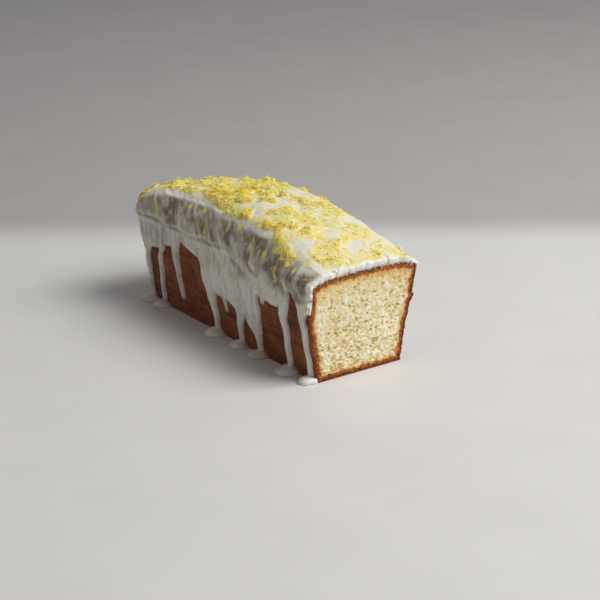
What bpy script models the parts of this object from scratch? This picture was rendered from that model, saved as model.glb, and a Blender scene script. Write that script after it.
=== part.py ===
"""Lemon drizzle loaf cake: the cut loaf of sponge, and the icing poured over it.

The cake is described on its own terms first: "along" is the distance from the cut face towards
the far end, "over" the distance from the front edge of the underside to the back, and a "place"
is a distance along the girth, which runs from the cut down the front, round the far end and back
to the cut. At the end the cake is stood on the origin, with its cut face towards +X, its front
towards -Y and +Z up.
"""
import math

import bmesh
import bpy
import numpy as np

CAKE = "lemon_drizzle_loaf_cake"

# The loaf as the tin shaped it, in metres.
BASE_LENGTH = 0.2365
BASE_WIDTH = 0.078
CORNER_RADIUS = 0.010
RIM_HEIGHT = 0.073

# How far each wall leans out by the rim, the power that its lean grows with, and how far it tucks
# in again just under the rim.
FRONT_LEAN = (0.0105, 1.0, 0.0060)
BACK_LEAN = (0.0165, 1.4, 0.0020)
END_LEAN = (0.0135, 2.2, 0.0)
TUCK_START = 0.62

# The dome that rose above the rim: heights at the cut, at the crown and at the far end, the powers
# that shape it, and how much higher its front is than its back towards the far end.
CROWN_AT_CUT, CROWN_HIGHEST, CROWN_AT_END = 0.0795, 0.1050, 0.0885
CROWN_PLACE = 0.52
CROWN_RISE_POWER, CROWN_FALL_POWER = 1.9, 1.8
DOME_SIDE_POWER = 3.5
DOME_END_POWER = 13.0
DOME_TOP_POWER = 1.6
FAR_TILT = 0.28

# Icing: thicknesses, the extra bulge of the runs below the hem, the pools at their feet, and the
# clearance between the two solids.
TOP_ICING = 0.0042
SHOULDER_ICING = 0.0021
RIM_ICING = 0.0017
CURTAIN_ICING = 0.0026
CURTAIN_DEPTH = 0.012
SHOULDER_FROM, SHOULDER_TO = 0.70, 0.97
WAVE_HEIGHT = 0.0005
WAVE_ALONG, WAVE_OVER = 0.031, 0.023
EDGE_ROUND = 0.0015
BARE_DEPTH = 0.0012
FILLET = 0.0030
RUN_BULGE = 0.0007
BULGE_FROM = 0.010
BULGE_ROUND = 0.0035
POOL_HEIGHT = 0.0048
POOL_ROUNDNESS = 2.2
POOL_FULLNESS = 0.38
POOL_BLEND = 0.0012
GAP = 0.0003

# Each run of icing, in millimetres: its place at the foot and half width there, its place and
# half width at the top, the height where it is that wide, the height of its tip, and, where it
# reaches the bottom, the half length and the reach of the pool that it ends in.
FRONT_RUNS = [
    (5.5, 2.7, 8.6, 6.8, 64.0, 0.0, 7.5, 12.0),
    (30.9, 3.0, 31.4, 5.7, 53.0, 0.0, 9.5, 15.0),
    (58.3, 1.7, 58.0, 2.4, 54.0, 45.5, 0.0, 0.0),
    (70.0, 2.8, 73.8, 9.8, 25.0, 0.0, 8.0, 12.5),
    (96.2, 3.0, 92.6, 6.2, 30.0, 0.0, 7.5, 12.5),
    (112.6, 1.5, 112.4, 2.2, 38.0, 22.8, 0.0, 0.0),
    (130.4, 3.4, 131.3, 8.8, 40.0, 0.0, 9.5, 13.0),
    (178.2, 2.4, 177.4, 5.6, 57.0, 14.2, 0.0, 0.0),
    (211.8, 2.6, 199.6, 3.2, 52.0, 0.0, 8.0, 12.0),
    (230.2, 2.6, 221.4, 4.8, 52.0, 0.0, 9.5, 12.0),
]
END_RUNS = [
    (253.0, 3.3, 255.0, 7.0, 48.0, 0.0, 7.6, 10.5),
    (268.5, 2.6, 268.0, 5.0, 52.0, 21.0, 0.0, 0.0),
    (284.0, 3.8, 281.0, 8.0, 44.0, 0.0, 8.4, 11.5),
    (301.0, 2.8, 302.0, 6.0, 55.0, 28.0, 0.0, 0.0),
]
BACK_RUNS = [
    (324.0, 3.3, 322.0, 7.0, 54.0, 0.0, 7.4, 10.5),
    (341.0, 3.0, 339.0, 6.0, 50.0, 12.0, 0.0, 0.0),
    (362.0, 4.0, 366.0, 10.0, 38.0, 0.0, 8.4, 11.5),
    (383.0, 1.8, 383.0, 3.5, 45.0, 27.0, 0.0, 0.0),
    (399.0, 3.5, 402.0, 8.0, 34.0, 0.0, 7.6, 10.5),
    (424.0, 3.3, 420.0, 7.5, 50.0, 0.0, 7.2, 10.5),
    (441.0, 2.7, 443.0, 6.0, 55.0, 24.0, 0.0, 0.0),
    (463.0, 3.9, 467.0, 10.5, 33.0, 0.0, 8.6, 12.0),
    (486.0, 1.7, 486.0, 3.0, 48.0, 33.0, 0.0, 0.0),
    (503.0, 3.4, 500.0, 7.0, 52.0, 0.0, 7.4, 10.5),
    (525.0, 3.0, 527.0, 6.0, 60.0, 19.0, 0.0, 0.0),
    (538.0, 2.0, 538.0, 2.6, 66.0, 50.0, 0.0, 0.0),
]
RUNS = FRONT_RUNS + END_RUNS + BACK_RUNS

# The power of its height that a run widens with, the power that it slants with, and its sway.
RUN_TAPER = 3.0
RUN_SLANT = 1.7
RUN_SWAY = 0.0008
SWAY_LENGTH, SWAY_SPREAD = 0.025, 0.0602

# The hem of the icing between the runs, in millimetres: place along the girth, and height.
HEM = [
    (0, 50), (8, 52), (14, 55.5), (20, 61.5), (23.5, 65.5), (27, 65.5), (33, 57), (39, 49),
    (46, 48.5), (53, 50), (60, 50), (64, 51.5), (69, 47), (76, 38), (88, 25), (98, 30),
    (108, 33.5), (120, 34), (132, 46), (144, 57.5), (158, 60), (171, 64), (182, 57.5),
    (194, 55.5), (204, 51), (217, 49.5), (236, 49), (246, 51), (261, 55), (276, 50), (292, 57),
    (303, 60), (314, 56), (331, 60), (350, 52), (374, 44), (390, 47), (411, 55), (432, 62),
    (452, 50), (475, 47), (493, 58), (514, 64), (533, 67), (543, 68),
]
HEM_SLOPE = 0.8

# Spacing of the meshes' rows and columns.
LOAF_STEP = 0.0125
ICING_STEP = 0.0013
CORNER_STEPS = 4
LOAF_DOME_ROWS, ICING_DOME_ROWS = 7, 9
LOAF_WALL_HEIGHTS = (0.067, 0.058, 0.045, 0.028, 0.012, 0.0)
ICING_WALL_STEP = 0.0020
POOL_ROWS = 7
POOL_ROWS_TOP = 1.2 * POOL_HEIGHT
ICING_FACES_KEPT = 0.12
OVERCUT = 0.006

CORNER_ARC = 0.5 * math.pi * CORNER_RADIUS
SIDE_LENGTH = BASE_LENGTH - CORNER_RADIUS
END_LENGTH = BASE_WIDTH - 2.0 * CORNER_RADIUS
GIRTH = 2.0 * (SIDE_LENGTH + CORNER_ARC) + END_LENGTH
RIM_FRONT = FRONT_LEAN[0] - FRONT_LEAN[2]
RIM_BACK = BACK_LEAN[0] - BACK_LEAN[2]
RIM_LENGTH = BASE_LENGTH + END_LEAN[0] - END_LEAN[2]
HALF_SPAN = 0.5 * (BASE_WIDTH + RIM_FRONT + RIM_BACK)
MM = 0.001


def smoothstep(value):
    clipped = np.clip(value, 0.0, 1.0)
    return clipped * clipped * (3.0 - 2.0 * clipped)


def smooth_max(first, second, blend):
    mix = np.clip(0.5 + 0.5 * (first - second) / blend, 0.0, 1.0)
    return second + (first - second) * mix + blend * mix * (1.0 - mix)


def base_outline(place):
    """The underside's edge: straight front, round corner, straight end, round corner, straight back."""
    near_corner = np.clip((place - SIDE_LENGTH) / CORNER_RADIUS, 0.0, 0.5 * math.pi)
    end_run = np.clip(place - SIDE_LENGTH - CORNER_ARC, 0.0, END_LENGTH)
    after_end = place - SIDE_LENGTH - CORNER_ARC - END_LENGTH
    far_corner = np.clip(after_end / CORNER_RADIUS, 0.0, 0.5 * math.pi)
    back_run = np.maximum(after_end - CORNER_ARC, 0.0)
    rounding = np.sin(near_corner) - (1.0 - np.cos(far_corner))
    along = np.minimum(place, SIDE_LENGTH) + CORNER_RADIUS * rounding - back_run
    over = CORNER_RADIUS * (1.0 - np.cos(near_corner) + np.sin(far_corner)) + end_run
    return along, over


def lean(height, wall):
    amount, power, tuck = wall
    part = np.clip(height, 0.0, None) / RIM_HEIGHT
    return amount * part ** power - tuck * smoothstep((part - TUCK_START) / (1.0 - TUCK_START))


def wall_point(place, height):
    along, over = base_outline(place)
    front = lean(height, FRONT_LEAN)
    back = lean(height, BACK_LEAN)
    end = lean(height, END_LEAN)
    wider = 1.0 + (front + back) / BASE_WIDTH
    return along * (1.0 + end / BASE_LENGTH), over * wider - front, height + 0.0 * along


def crown_height(along):
    part = along / BASE_LENGTH
    short = np.clip(1.0 - part / CROWN_PLACE, 0.0, None)
    past = np.clip((part - CROWN_PLACE) / (1.0 - CROWN_PLACE), 0.0, None)
    rising = CROWN_HIGHEST - (CROWN_HIGHEST - CROWN_AT_CUT) * short ** CROWN_RISE_POWER
    falling = CROWN_HIGHEST - (CROWN_HIGHEST - CROWN_AT_END) * past ** CROWN_FALL_POWER
    return np.where(part < CROWN_PLACE, rising, falling)


def spine_point(along):
    """The dome's ridge, which stops half a width short of the far end."""
    return np.minimum(along, RIM_LENGTH - HALF_SPAN), HALF_SPAN - RIM_FRONT


def dome_point(place, reach):
    """A point of the dome; reach is 0 on the spine and 1 at the rim."""
    rim_along, rim_over, _ = wall_point(place, RIM_HEIGHT)
    spine_along, spine_over = spine_point(rim_along)
    span = np.hypot(rim_along - spine_along, rim_over - spine_over)
    rounded = reach * (reach ** 2 + (1.0 - reach ** 2) * HALF_SPAN / span)
    along = spine_along + rounded * (rim_along - spine_along)
    over = spine_over + rounded * (rim_over - spine_over)
    endward = (rim_along - spine_along) / span
    power = DOME_SIDE_POWER + (DOME_END_POWER - DOME_SIDE_POWER) * endward
    rise = (1.0 - reach ** power) ** (1.0 / DOME_TOP_POWER)
    past = np.clip((along / BASE_LENGTH - CROWN_PLACE) / (1.0 - CROWN_PLACE), 0.0, None)
    rise = rise * (1.0 + FAR_TILT * past ** 2 * (spine_over - over) / HALF_SPAN)
    return along, over, RIM_HEIGHT + (crown_height(along) - RIM_HEIGHT) * rise


def outward(place):
    """The level direction that points straight out of the wall at a place on the girth."""
    turn = np.clip((place - SIDE_LENGTH) / CORNER_RADIUS, 0.0, 0.5 * math.pi)
    after_end = place - SIDE_LENGTH - CORNER_ARC - END_LENGTH
    turn = turn + np.clip(after_end / CORNER_RADIUS, 0.0, 0.5 * math.pi)
    return np.stack([np.sin(turn), -np.cos(turn), 0.0 * turn], -1)


def skin(places, reaches, heights):
    """Points of the loaf's surface, row by row from the spine to the base, and their outward directions."""
    rows = [dome_point(places, reach) for reach in reaches]
    rows += [wall_point(places, height) for height in heights]
    points = np.array(rows).transpose(0, 2, 1)
    level = outward(places)
    ways = np.broadcast_to(level, points.shape).copy()
    domed = len(reaches)
    up_rows = np.gradient(points[: domed + 1], axis=0)[:domed]
    round_rows = np.gradient(points[: domed + 1], axis=1)[:domed]
    normals = np.cross(round_rows, up_rows)
    size = np.linalg.norm(normals, axis=-1, keepdims=True)
    normals /= np.maximum(size, 1e-12)
    normals *= np.sign((normals * (level + [0.0, 0.0, 1.0])).sum(-1, keepdims=True))
    normals[size[..., 0] < 1e-10] = (0.0, 0.0, 1.0)
    normals[0] = (0.0, 0.0, 1.0)
    ways[:domed] = normals
    return points, ways


def hem_height(place):
    hem_places, hem_heights = np.array(HEM).T * MM
    return np.interp(place, hem_places, hem_heights)


def icing_cover(place, height):
    """How far inside the icing's outline a point of the wall lies, below zero where it is bare."""
    inside = (height - hem_height(place)) * HEM_SLOPE
    for run in RUNS:
        foot, foot_half, top, top_half, top_height, tip = (MM * value for value in run[:6])
        part = np.clip((height - tip) / (top_height - tip), 0.0, 1.0)
        sway = np.sin(2.0 * math.pi * (height / SWAY_LENGTH + foot / SWAY_SPREAD))
        middle = foot + (top - foot) * part ** RUN_SLANT + RUN_SWAY * sway * np.sqrt(part)
        depth = foot_half + (top_half - foot_half) * part ** RUN_TAPER - np.abs(place - middle)
        if tip > 0.0:
            bead = foot_half - np.hypot(place - foot, height - tip - foot_half)
            depth = np.where(height < tip + foot_half, bead, depth)
        inside = smooth_max(inside, depth, FILLET)
    return inside


def pool_reach(place, height):
    """How far the pools at the foot stand out from the wall at a height."""
    reach = np.full(np.broadcast(place, height).shape, -BARE_DEPTH)
    for run in RUNS:
        foot, half_length, out = (MM * run[index] for index in (0, 6, 7))
        if half_length == 0.0:
            continue
        sideways = np.abs((place - foot) / half_length) ** POOL_ROUNDNESS
        upwards = (np.maximum(height, 0.0) / POOL_HEIGHT) ** POOL_ROUNDNESS
        left = 1.0 - sideways - upwards
        here = np.where(left > 0.0, out * np.maximum(left, 0.0) ** POOL_FULLNESS, -BARE_DEPTH)
        reach = np.maximum(reach, here)
    return reach


def icing_depth(places, points, reaches, heights):
    """The icing's thickness at each point of the skin, below zero where there is none."""
    reach = np.array(reaches)[:, None]
    shoulder = smoothstep((reach - SHOULDER_FROM) / (SHOULDER_TO - SHOULDER_FROM))
    on_dome = TOP_ICING + (SHOULDER_ICING - TOP_ICING) * shoulder + 0.0 * places
    along, over = points[: len(reaches), :, 0], points[: len(reaches), :, 1]
    waves = np.sin(2.0 * math.pi * along / WAVE_ALONG) * np.cos(2.0 * math.pi * over / WAVE_OVER)
    on_dome += WAVE_HEIGHT * waves * (1.0 - shoulder)
    height = np.array(heights)[:, None]
    below_rim = smoothstep((RIM_HEIGHT - height) / CURTAIN_DEPTH)
    full = RIM_ICING + (CURTAIN_ICING - RIM_ICING) * below_rim
    cover = icing_cover(places, height)
    hanging = smoothstep((hem_height(places) - height) / BULGE_FROM)
    bulge = RUN_BULGE * hanging * smoothstep(cover / BULGE_ROUND)
    on_wall = np.maximum(full * np.tanh(cover / EDGE_ROUND) + bulge, -BARE_DEPTH)
    on_wall = smooth_max(on_wall, pool_reach(places, height), POOL_BLEND)
    return np.concatenate([on_dome, on_wall])


def dome_reaches(count):
    """Rows of the dome, closer together towards the rim, where it is steep."""
    return [1.0 - (1.0 - index / count) ** 2 for index in range(count)]


def girth_places(step, start, stop):
    """Places along the girth, with the same few steps round each corner."""
    finer = min(step, CORNER_ARC / CORNER_STEPS)
    bounds = [start, SIDE_LENGTH, SIDE_LENGTH + CORNER_ARC]
    bounds += [GIRTH - SIDE_LENGTH - CORNER_ARC, GIRTH - SIDE_LENGTH, stop]
    stretches = zip(bounds[:-1], bounds[1:], (step, finer, step, finer, step))
    places = [start]
    for first, last, length in stretches:
        count = max(1, round((last - first) / length))
        places += list(np.linspace(first, last, count + 1)[1:])
    return np.array(places)


def new_object(name, mesh):
    made = bpy.data.objects.new(name, mesh)
    bpy.context.scene.collection.objects.link(made)
    return made


def closed_skin(name, points):
    """A closed body from rows of points: the skin, the flat cut face and the flat underside."""
    row_count, column_count, _ = points.shape
    shape = bmesh.new()
    grid = [[shape.verts.new(point) for point in row] for row in points]
    for row in range(row_count - 1):
        for column in range(column_count - 1):
            upper, lower = grid[row], grid[row + 1]
            shape.faces.new((upper[column], lower[column], lower[column + 1], upper[column + 1]))
    front_edge = [row[0] for row in grid]
    back_edge = [row[-1] for row in reversed(grid)]
    shape.faces.new(front_edge + back_edge)
    shape.faces.new(grid[-1])
    bmesh.ops.remove_doubles(shape, verts=shape.verts, dist=1e-6)
    bmesh.ops.dissolve_degenerate(shape, edges=shape.edges, dist=1e-7)
    bmesh.ops.recalc_face_normals(shape, faces=shape.faces)
    mesh = bpy.data.meshes.new(name)
    shape.to_mesh(mesh)
    shape.free()
    return new_object(name, mesh)


def loaf_skin(name, grow, beyond):
    """The loaf's own form, grown by a clearance and run on past its two flat faces."""
    places = girth_places(LOAF_STEP, -beyond, GIRTH + beyond)
    reaches = dome_reaches(LOAF_DOME_ROWS)
    heights = (RIM_HEIGHT,) + LOAF_WALL_HEIGHTS[:-1] + (-beyond,)
    points, ways = skin(places, reaches, heights)
    return closed_skin(name, points + grow * ways)


def iced_skin(name, beyond):
    """The outside of the iced cake as one body, sunk just below the crust where that is bare."""
    places = girth_places(ICING_STEP, -beyond, GIRTH + beyond)
    reaches = dome_reaches(ICING_DOME_ROWS)
    wall_rows = round((RIM_HEIGHT - POOL_ROWS_TOP) / ICING_WALL_STEP)
    heights = list(np.linspace(RIM_HEIGHT, POOL_ROWS_TOP, wall_rows, endpoint=False))
    heights += [POOL_ROWS_TOP]
    heights += list(POOL_HEIGHT * (1.0 - np.linspace(0.0, 1.0, POOL_ROWS + 1) ** 2)) + [-beyond]
    points, ways = skin(places, reaches, heights)
    depth = icing_depth(places, points, reaches, heights)
    body = closed_skin(name, points + depth[..., None] * ways)
    thin_out = body.modifiers.new("fewer faces", "DECIMATE")
    thin_out.ratio = ICING_FACES_KEPT
    return body


def applied(body):
    """The body with its modifiers made part of its mesh."""
    ready = body.evaluated_get(bpy.context.evaluated_depsgraph_get())
    mesh = bpy.data.meshes.new_from_object(ready)
    body.modifiers.clear()
    body.data = mesh
    return body


def keep_boolean(body, cutter, operation):
    cut = body.modifiers.new(cutter.name, "BOOLEAN")
    cut.operation = operation
    cut.object = cutter
    cut.solver = "EXACT"


def standing_room(name):
    """A block that holds all of the cake behind the cut and above the surface that it stands on."""
    bpy.ops.mesh.primitive_cube_add(size=1.0)
    block = bpy.context.object
    block.name = name
    block.scale = (2.0 * BASE_LENGTH, 4.0 * BASE_WIDTH, 2.0 * CROWN_HIGHEST)
    block.location = (BASE_LENGTH, 0.5 * BASE_WIDTH, CROWN_HIGHEST)
    bpy.ops.object.transform_apply(location=True, rotation=False, scale=True)
    return block


def sponge():
    return loaf_skin("sponge", 0.0, 0.0)


def icing(loaf_room, block):
    """The icing: everything inside the iced outline that the loaf does not fill."""
    body = applied(iced_skin("icing", OVERCUT))
    keep_boolean(body, loaf_room, "DIFFERENCE")
    keep_boolean(body, block, "INTERSECT")
    return applied(body)


def tidy_mesh(body):
    shape = bmesh.new()
    shape.from_mesh(body.data)
    bmesh.ops.remove_doubles(shape, verts=shape.verts, dist=2e-5)
    bmesh.ops.dissolve_degenerate(shape, edges=shape.edges, dist=1e-6)
    bmesh.ops.triangulate(shape, faces=shape.faces)
    shape.to_mesh(body.data)
    shape.free()


def stand_on_origin(bodies):
    """Turn the cut face to +X and the front to -Y, and centre the cake over the origin."""
    for body in bodies:
        for vertex in body.data.vertices:
            vertex.co.x = -vertex.co.x
        body.data.flip_normals()
    points = np.array([vertex.co for body in bodies for vertex in body.data.vertices])
    middle = 0.5 * (points.min(0) + points.max(0))
    for body in bodies:
        for vertex in body.data.vertices:
            vertex.co.x -= middle[0]
            vertex.co.y -= middle[1]


def material(name, color, roughness, subsurface):
    made = bpy.data.materials.new(name)
    made.use_nodes = True
    shader = made.node_tree.nodes["Principled BSDF"]
    shader.inputs["Base Color"].default_value = (*color, 1.0)
    shader.inputs["Roughness"].default_value = roughness
    shader.inputs["Metallic"].default_value = 0.0
    shader.inputs["Subsurface Weight"].default_value = subsurface
    return made


def finish(body, collection, look):
    body.data.materials.clear()
    body.data.materials.append(look)
    body.data.shade_smooth()
    body.data.set_sharp_from_angle(angle=math.radians(40.0))
    for holder in list(body.users_collection):
        holder.objects.unlink(body)
    collection.objects.link(body)


def hide_cutter(cutter, collection):
    cutter.hide_render = True
    cutter.display_type = "WIRE"
    for holder in list(cutter.users_collection):
        holder.objects.unlink(cutter)
    collection.objects.link(cutter)


def build():
    for old in list(bpy.data.objects):
        bpy.data.objects.remove(old, do_unlink=True)
    cake = bpy.data.collections.new(CAKE)
    cutters = bpy.data.collections.new("cutters")
    bpy.context.scene.collection.children.link(cake)
    bpy.context.scene.collection.children.link(cutters)

    loaf_room = loaf_skin("loaf_room", GAP, 2.0 * OVERCUT)
    block = standing_room("standing_room")
    bodies = [sponge(), icing(loaf_room, block)]
    for body in bodies:
        tidy_mesh(body)
    stand_on_origin(bodies)

    finish(bodies[0], cake, material("baked sponge", (0.30, 0.115, 0.04), 0.75, 0.0))
    finish(bodies[1], cake, material("lemon icing", (0.80, 0.79, 0.74), 0.35, 0.1))
    hide_cutter(loaf_room, cutters)
    hide_cutter(block, cutters)


build()
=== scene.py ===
"""Lemon drizzle loaf cake: the looks of the cut loaf, its icing and its lemon zest.

The CAD nodes "sponge" and "icing" are each replaced by a finer piece of the same form, give or take
a few millimetres. As in the CAD, "along" is the distance from the cut face towards the far end,
"over" the distance from the front edge of the underside to the back, and a "place" is a distance
along the girth, which runs from the cut down the front, round the far end and back to the cut.
Lengths are in metres, but the tables of runs, heaps and patches are in millimetres.
"""
import math

import bmesh
import bpy
import numpy as np
from mathutils import Euler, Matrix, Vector, kdtree


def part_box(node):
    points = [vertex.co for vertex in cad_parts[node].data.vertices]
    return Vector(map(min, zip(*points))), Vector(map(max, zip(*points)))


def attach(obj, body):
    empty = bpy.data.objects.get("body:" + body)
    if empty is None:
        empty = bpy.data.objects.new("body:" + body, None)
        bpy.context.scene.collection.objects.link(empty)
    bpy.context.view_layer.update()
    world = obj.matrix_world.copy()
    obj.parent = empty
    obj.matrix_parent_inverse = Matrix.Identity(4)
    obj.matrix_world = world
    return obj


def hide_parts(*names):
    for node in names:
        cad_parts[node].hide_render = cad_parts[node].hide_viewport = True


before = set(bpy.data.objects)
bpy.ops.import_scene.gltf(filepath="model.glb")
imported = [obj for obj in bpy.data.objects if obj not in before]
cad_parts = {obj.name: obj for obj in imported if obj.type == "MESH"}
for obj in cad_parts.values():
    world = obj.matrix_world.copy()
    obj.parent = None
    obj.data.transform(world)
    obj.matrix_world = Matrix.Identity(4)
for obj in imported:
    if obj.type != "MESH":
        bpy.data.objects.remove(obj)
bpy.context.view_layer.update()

MM = 0.001

# ---------------------------------------------------------------- the loaf's form, as in the CAD
BASE_LENGTH = 0.2365
BASE_WIDTH = 0.078
CORNER_RADIUS = 0.010
RIM_HEIGHT = 0.073
FRONT_LEAN = (0.0105, 1.0, 0.0060)
BACK_LEAN = (0.0165, 1.4, 0.0020)
END_LEAN = (0.0135, 2.2, 0.0)
TUCK_START = 0.62
CROWN_AT_CUT, CROWN_HIGHEST, CROWN_AT_END = 0.0795, 0.1050, 0.0885
CROWN_PLACE = 0.52
CROWN_RISE_POWER, CROWN_FALL_POWER = 1.9, 1.8
DOME_SIDE_POWER = 3.5
DOME_END_POWER = 13.0
DOME_TOP_POWER = 1.6
FAR_TILT = 0.28
TOP_ICING = 0.0042
SHOULDER_ICING = 0.0021
RIM_ICING = 0.0017
CURTAIN_ICING = 0.0026
CURTAIN_DEPTH = 0.012
SHOULDER_FROM, SHOULDER_TO = 0.70, 0.97
WAVE_HEIGHT = 0.0005
WAVE_ALONG, WAVE_OVER = 0.031, 0.023
EDGE_ROUND = 0.0015
BARE_DEPTH = 0.0012
FILLET = 0.0030
RUN_BULGE = 0.0007
BULGE_FROM = 0.010
BULGE_ROUND = 0.0035
POOL_HEIGHT = 0.0048
POOL_ROUNDNESS = 2.2
POOL_FULLNESS = 0.38
POOL_BLEND = 0.0012

# Each run of icing, in millimetres: its place at the foot and half width there, its place and
# half width at the top, the height where it is that wide, the height of its tip, and, where it
# reaches the bottom, the half length and the reach of the pool that it ends in.
FRONT_RUNS = [
    (5.5, 2.7, 8.6, 6.8, 64.0, 0.0, 7.5, 12.0),
    (30.9, 3.0, 31.4, 5.7, 53.0, 0.0, 9.5, 15.0),
    (58.3, 1.7, 58.0, 2.4, 54.0, 45.5, 0.0, 0.0),
    (70.0, 2.8, 73.8, 9.8, 25.0, 0.0, 8.0, 12.5),
    (96.2, 3.0, 92.6, 6.2, 30.0, 0.0, 7.5, 12.5),
    (112.6, 1.5, 112.4, 2.2, 38.0, 22.8, 0.0, 0.0),
    (130.4, 3.4, 131.3, 8.8, 40.0, 0.0, 9.5, 13.0),
    (178.2, 2.4, 177.4, 5.6, 57.0, 14.2, 0.0, 0.0),
    (211.8, 2.6, 199.6, 3.2, 52.0, 0.0, 8.0, 12.0),
    (230.2, 2.6, 221.4, 4.8, 52.0, 0.0, 9.5, 12.0),
]
END_RUNS = [
    (253.0, 3.3, 255.0, 7.0, 48.0, 0.0, 7.6, 10.5),
    (268.5, 2.6, 268.0, 5.0, 52.0, 21.0, 0.0, 0.0),
    (284.0, 3.8, 281.0, 8.0, 44.0, 0.0, 8.4, 11.5),
    (301.0, 2.8, 302.0, 6.0, 55.0, 28.0, 0.0, 0.0),
]
BACK_RUNS = [
    (324.0, 3.3, 322.0, 7.0, 54.0, 0.0, 7.4, 10.5),
    (341.0, 3.0, 339.0, 6.0, 50.0, 12.0, 0.0, 0.0),
    (362.0, 4.0, 366.0, 10.0, 38.0, 0.0, 8.4, 11.5),
    (383.0, 1.8, 383.0, 3.5, 45.0, 27.0, 0.0, 0.0),
    (399.0, 3.5, 402.0, 8.0, 34.0, 0.0, 7.6, 10.5),
    (424.0, 3.3, 420.0, 7.5, 50.0, 0.0, 7.2, 10.5),
    (441.0, 2.7, 443.0, 6.0, 55.0, 24.0, 0.0, 0.0),
    (463.0, 3.9, 467.0, 10.5, 33.0, 0.0, 8.6, 12.0),
    (486.0, 1.7, 486.0, 3.0, 48.0, 33.0, 0.0, 0.0),
    (503.0, 3.4, 500.0, 7.0, 52.0, 0.0, 7.4, 10.5),
    (525.0, 3.0, 527.0, 6.0, 60.0, 19.0, 0.0, 0.0),
    (538.0, 2.0, 538.0, 2.6, 66.0, 50.0, 0.0, 0.0),
]
RUNS = FRONT_RUNS + END_RUNS + BACK_RUNS

# The power of its height that a run widens with, the power that it slants with, and its sway.
RUN_TAPER = 3.0
RUN_SLANT = 1.7
RUN_SWAY = 0.0008
SWAY_LENGTH, SWAY_SPREAD = 0.025, 0.0602

# The hem of the icing between the runs, in millimetres: place along the girth, and height.
HEM = [
    (0, 50), (8, 52), (14, 55.5), (20, 61.5), (23.5, 65.5), (27, 65.5), (33, 57), (39, 49),
    (46, 48.5), (53, 50), (60, 50), (64, 51.5), (69, 47), (76, 38), (88, 25), (98, 30),
    (108, 33.5), (120, 34), (132, 46), (144, 57.5), (158, 60), (171, 64), (182, 57.5),
    (194, 55.5), (204, 51), (217, 49.5), (236, 49), (246, 51), (261, 55), (276, 50), (292, 57),
    (303, 60), (314, 56), (331, 60), (350, 52), (374, 44), (390, 47), (411, 55), (432, 62),
    (452, 50), (475, 47), (493, 58), (514, 64), (533, 67), (543, 68),
]
HEM_SLOPE = 0.8

CORNER_ARC = 0.5 * math.pi * CORNER_RADIUS
SIDE_LENGTH = BASE_LENGTH - CORNER_RADIUS
END_LENGTH = BASE_WIDTH - 2.0 * CORNER_RADIUS
GIRTH = 2.0 * (SIDE_LENGTH + CORNER_ARC) + END_LENGTH
RIM_FRONT = FRONT_LEAN[0] - FRONT_LEAN[2]
RIM_BACK = BACK_LEAN[0] - BACK_LEAN[2]
RIM_LENGTH = BASE_LENGTH + END_LEAN[0] - END_LEAN[2]
HALF_SPAN = 0.5 * (BASE_WIDTH + RIM_FRONT + RIM_BACK)


def smoothstep(value):
    clipped = np.clip(value, 0.0, 1.0)
    return clipped * clipped * (3.0 - 2.0 * clipped)


def hump(value, middle, half_width, power=2):
    """1 at the middle, falling to 0 on both sides of it."""
    return np.exp(-((value - middle) / half_width) ** power)


def smooth_max(first, second, blend):
    mix = np.clip(0.5 + 0.5 * (first - second) / blend, 0.0, 1.0)
    return second + (first - second) * mix + blend * mix * (1.0 - mix)


# ---------------------------------------------------------------- repeatable noise
def lattice(x, y, z, seed):
    """A repeatable number from -1 to 1 at each whole-number point."""
    mixed = (x * 73856093) ^ (y * 19349663) ^ (z * 83492791) ^ (seed * 26544357)
    mixed = (mixed ^ (mixed >> 13)) * 1274126177
    mixed = mixed ^ (mixed >> 16)
    return (mixed & 0xFFFF) / 32767.5 - 1.0


def noise(points, size, seed):
    """Smooth noise from -1 to 1 whose lumps are about as wide as size, a number or one per axis."""
    scaled = np.asarray(points) / np.asarray(size)
    whole = np.floor(scaled).astype(np.int64)
    part = scaled - whole
    part = part * part * part * (part * (part * 6.0 - 15.0) + 10.0)
    total = 0.0
    for step_x in (0, 1):
        for step_y in (0, 1):
            for step_z in (0, 1):
                weight = np.where(step_x, part[..., 0], 1.0 - part[..., 0])
                weight = weight * np.where(step_y, part[..., 1], 1.0 - part[..., 1])
                weight = weight * np.where(step_z, part[..., 2], 1.0 - part[..., 2])
                corner = [whole[..., 0] + step_x, whole[..., 1] + step_y, whole[..., 2] + step_z]
                total = total + weight * lattice(*corner, seed)
    return total


def fractal(points, size, seed, octaves=3, fade=0.5):
    total, weight, sum_of_weights = 0.0, 1.0, 0.0
    for octave in range(octaves):
        total = total + weight * noise(points, np.asarray(size) / 2.0 ** octave, seed + 17 * octave)
        sum_of_weights += weight
        weight *= fade
    return total / sum_of_weights


# ---------------------------------------------------------------- the loaf's surface
def base_outline(place):
    """The underside's edge: straight front, round corner, straight end, round corner, straight back."""
    near_corner = np.clip((place - SIDE_LENGTH) / CORNER_RADIUS, 0.0, 0.5 * math.pi)
    end_run = np.clip(place - SIDE_LENGTH - CORNER_ARC, 0.0, END_LENGTH)
    after_end = place - SIDE_LENGTH - CORNER_ARC - END_LENGTH
    far_corner = np.clip(after_end / CORNER_RADIUS, 0.0, 0.5 * math.pi)
    back_run = np.maximum(after_end - CORNER_ARC, 0.0)
    rounding = np.sin(near_corner) - (1.0 - np.cos(far_corner))
    along = np.minimum(place, SIDE_LENGTH) + CORNER_RADIUS * rounding - back_run
    over = CORNER_RADIUS * (1.0 - np.cos(near_corner) + np.sin(far_corner)) + end_run
    return along, over


def lean(height, wall):
    amount, power, tuck = wall
    part = np.clip(height, 0.0, None) / RIM_HEIGHT
    return amount * part ** power - tuck * smoothstep((part - TUCK_START) / (1.0 - TUCK_START))


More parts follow.
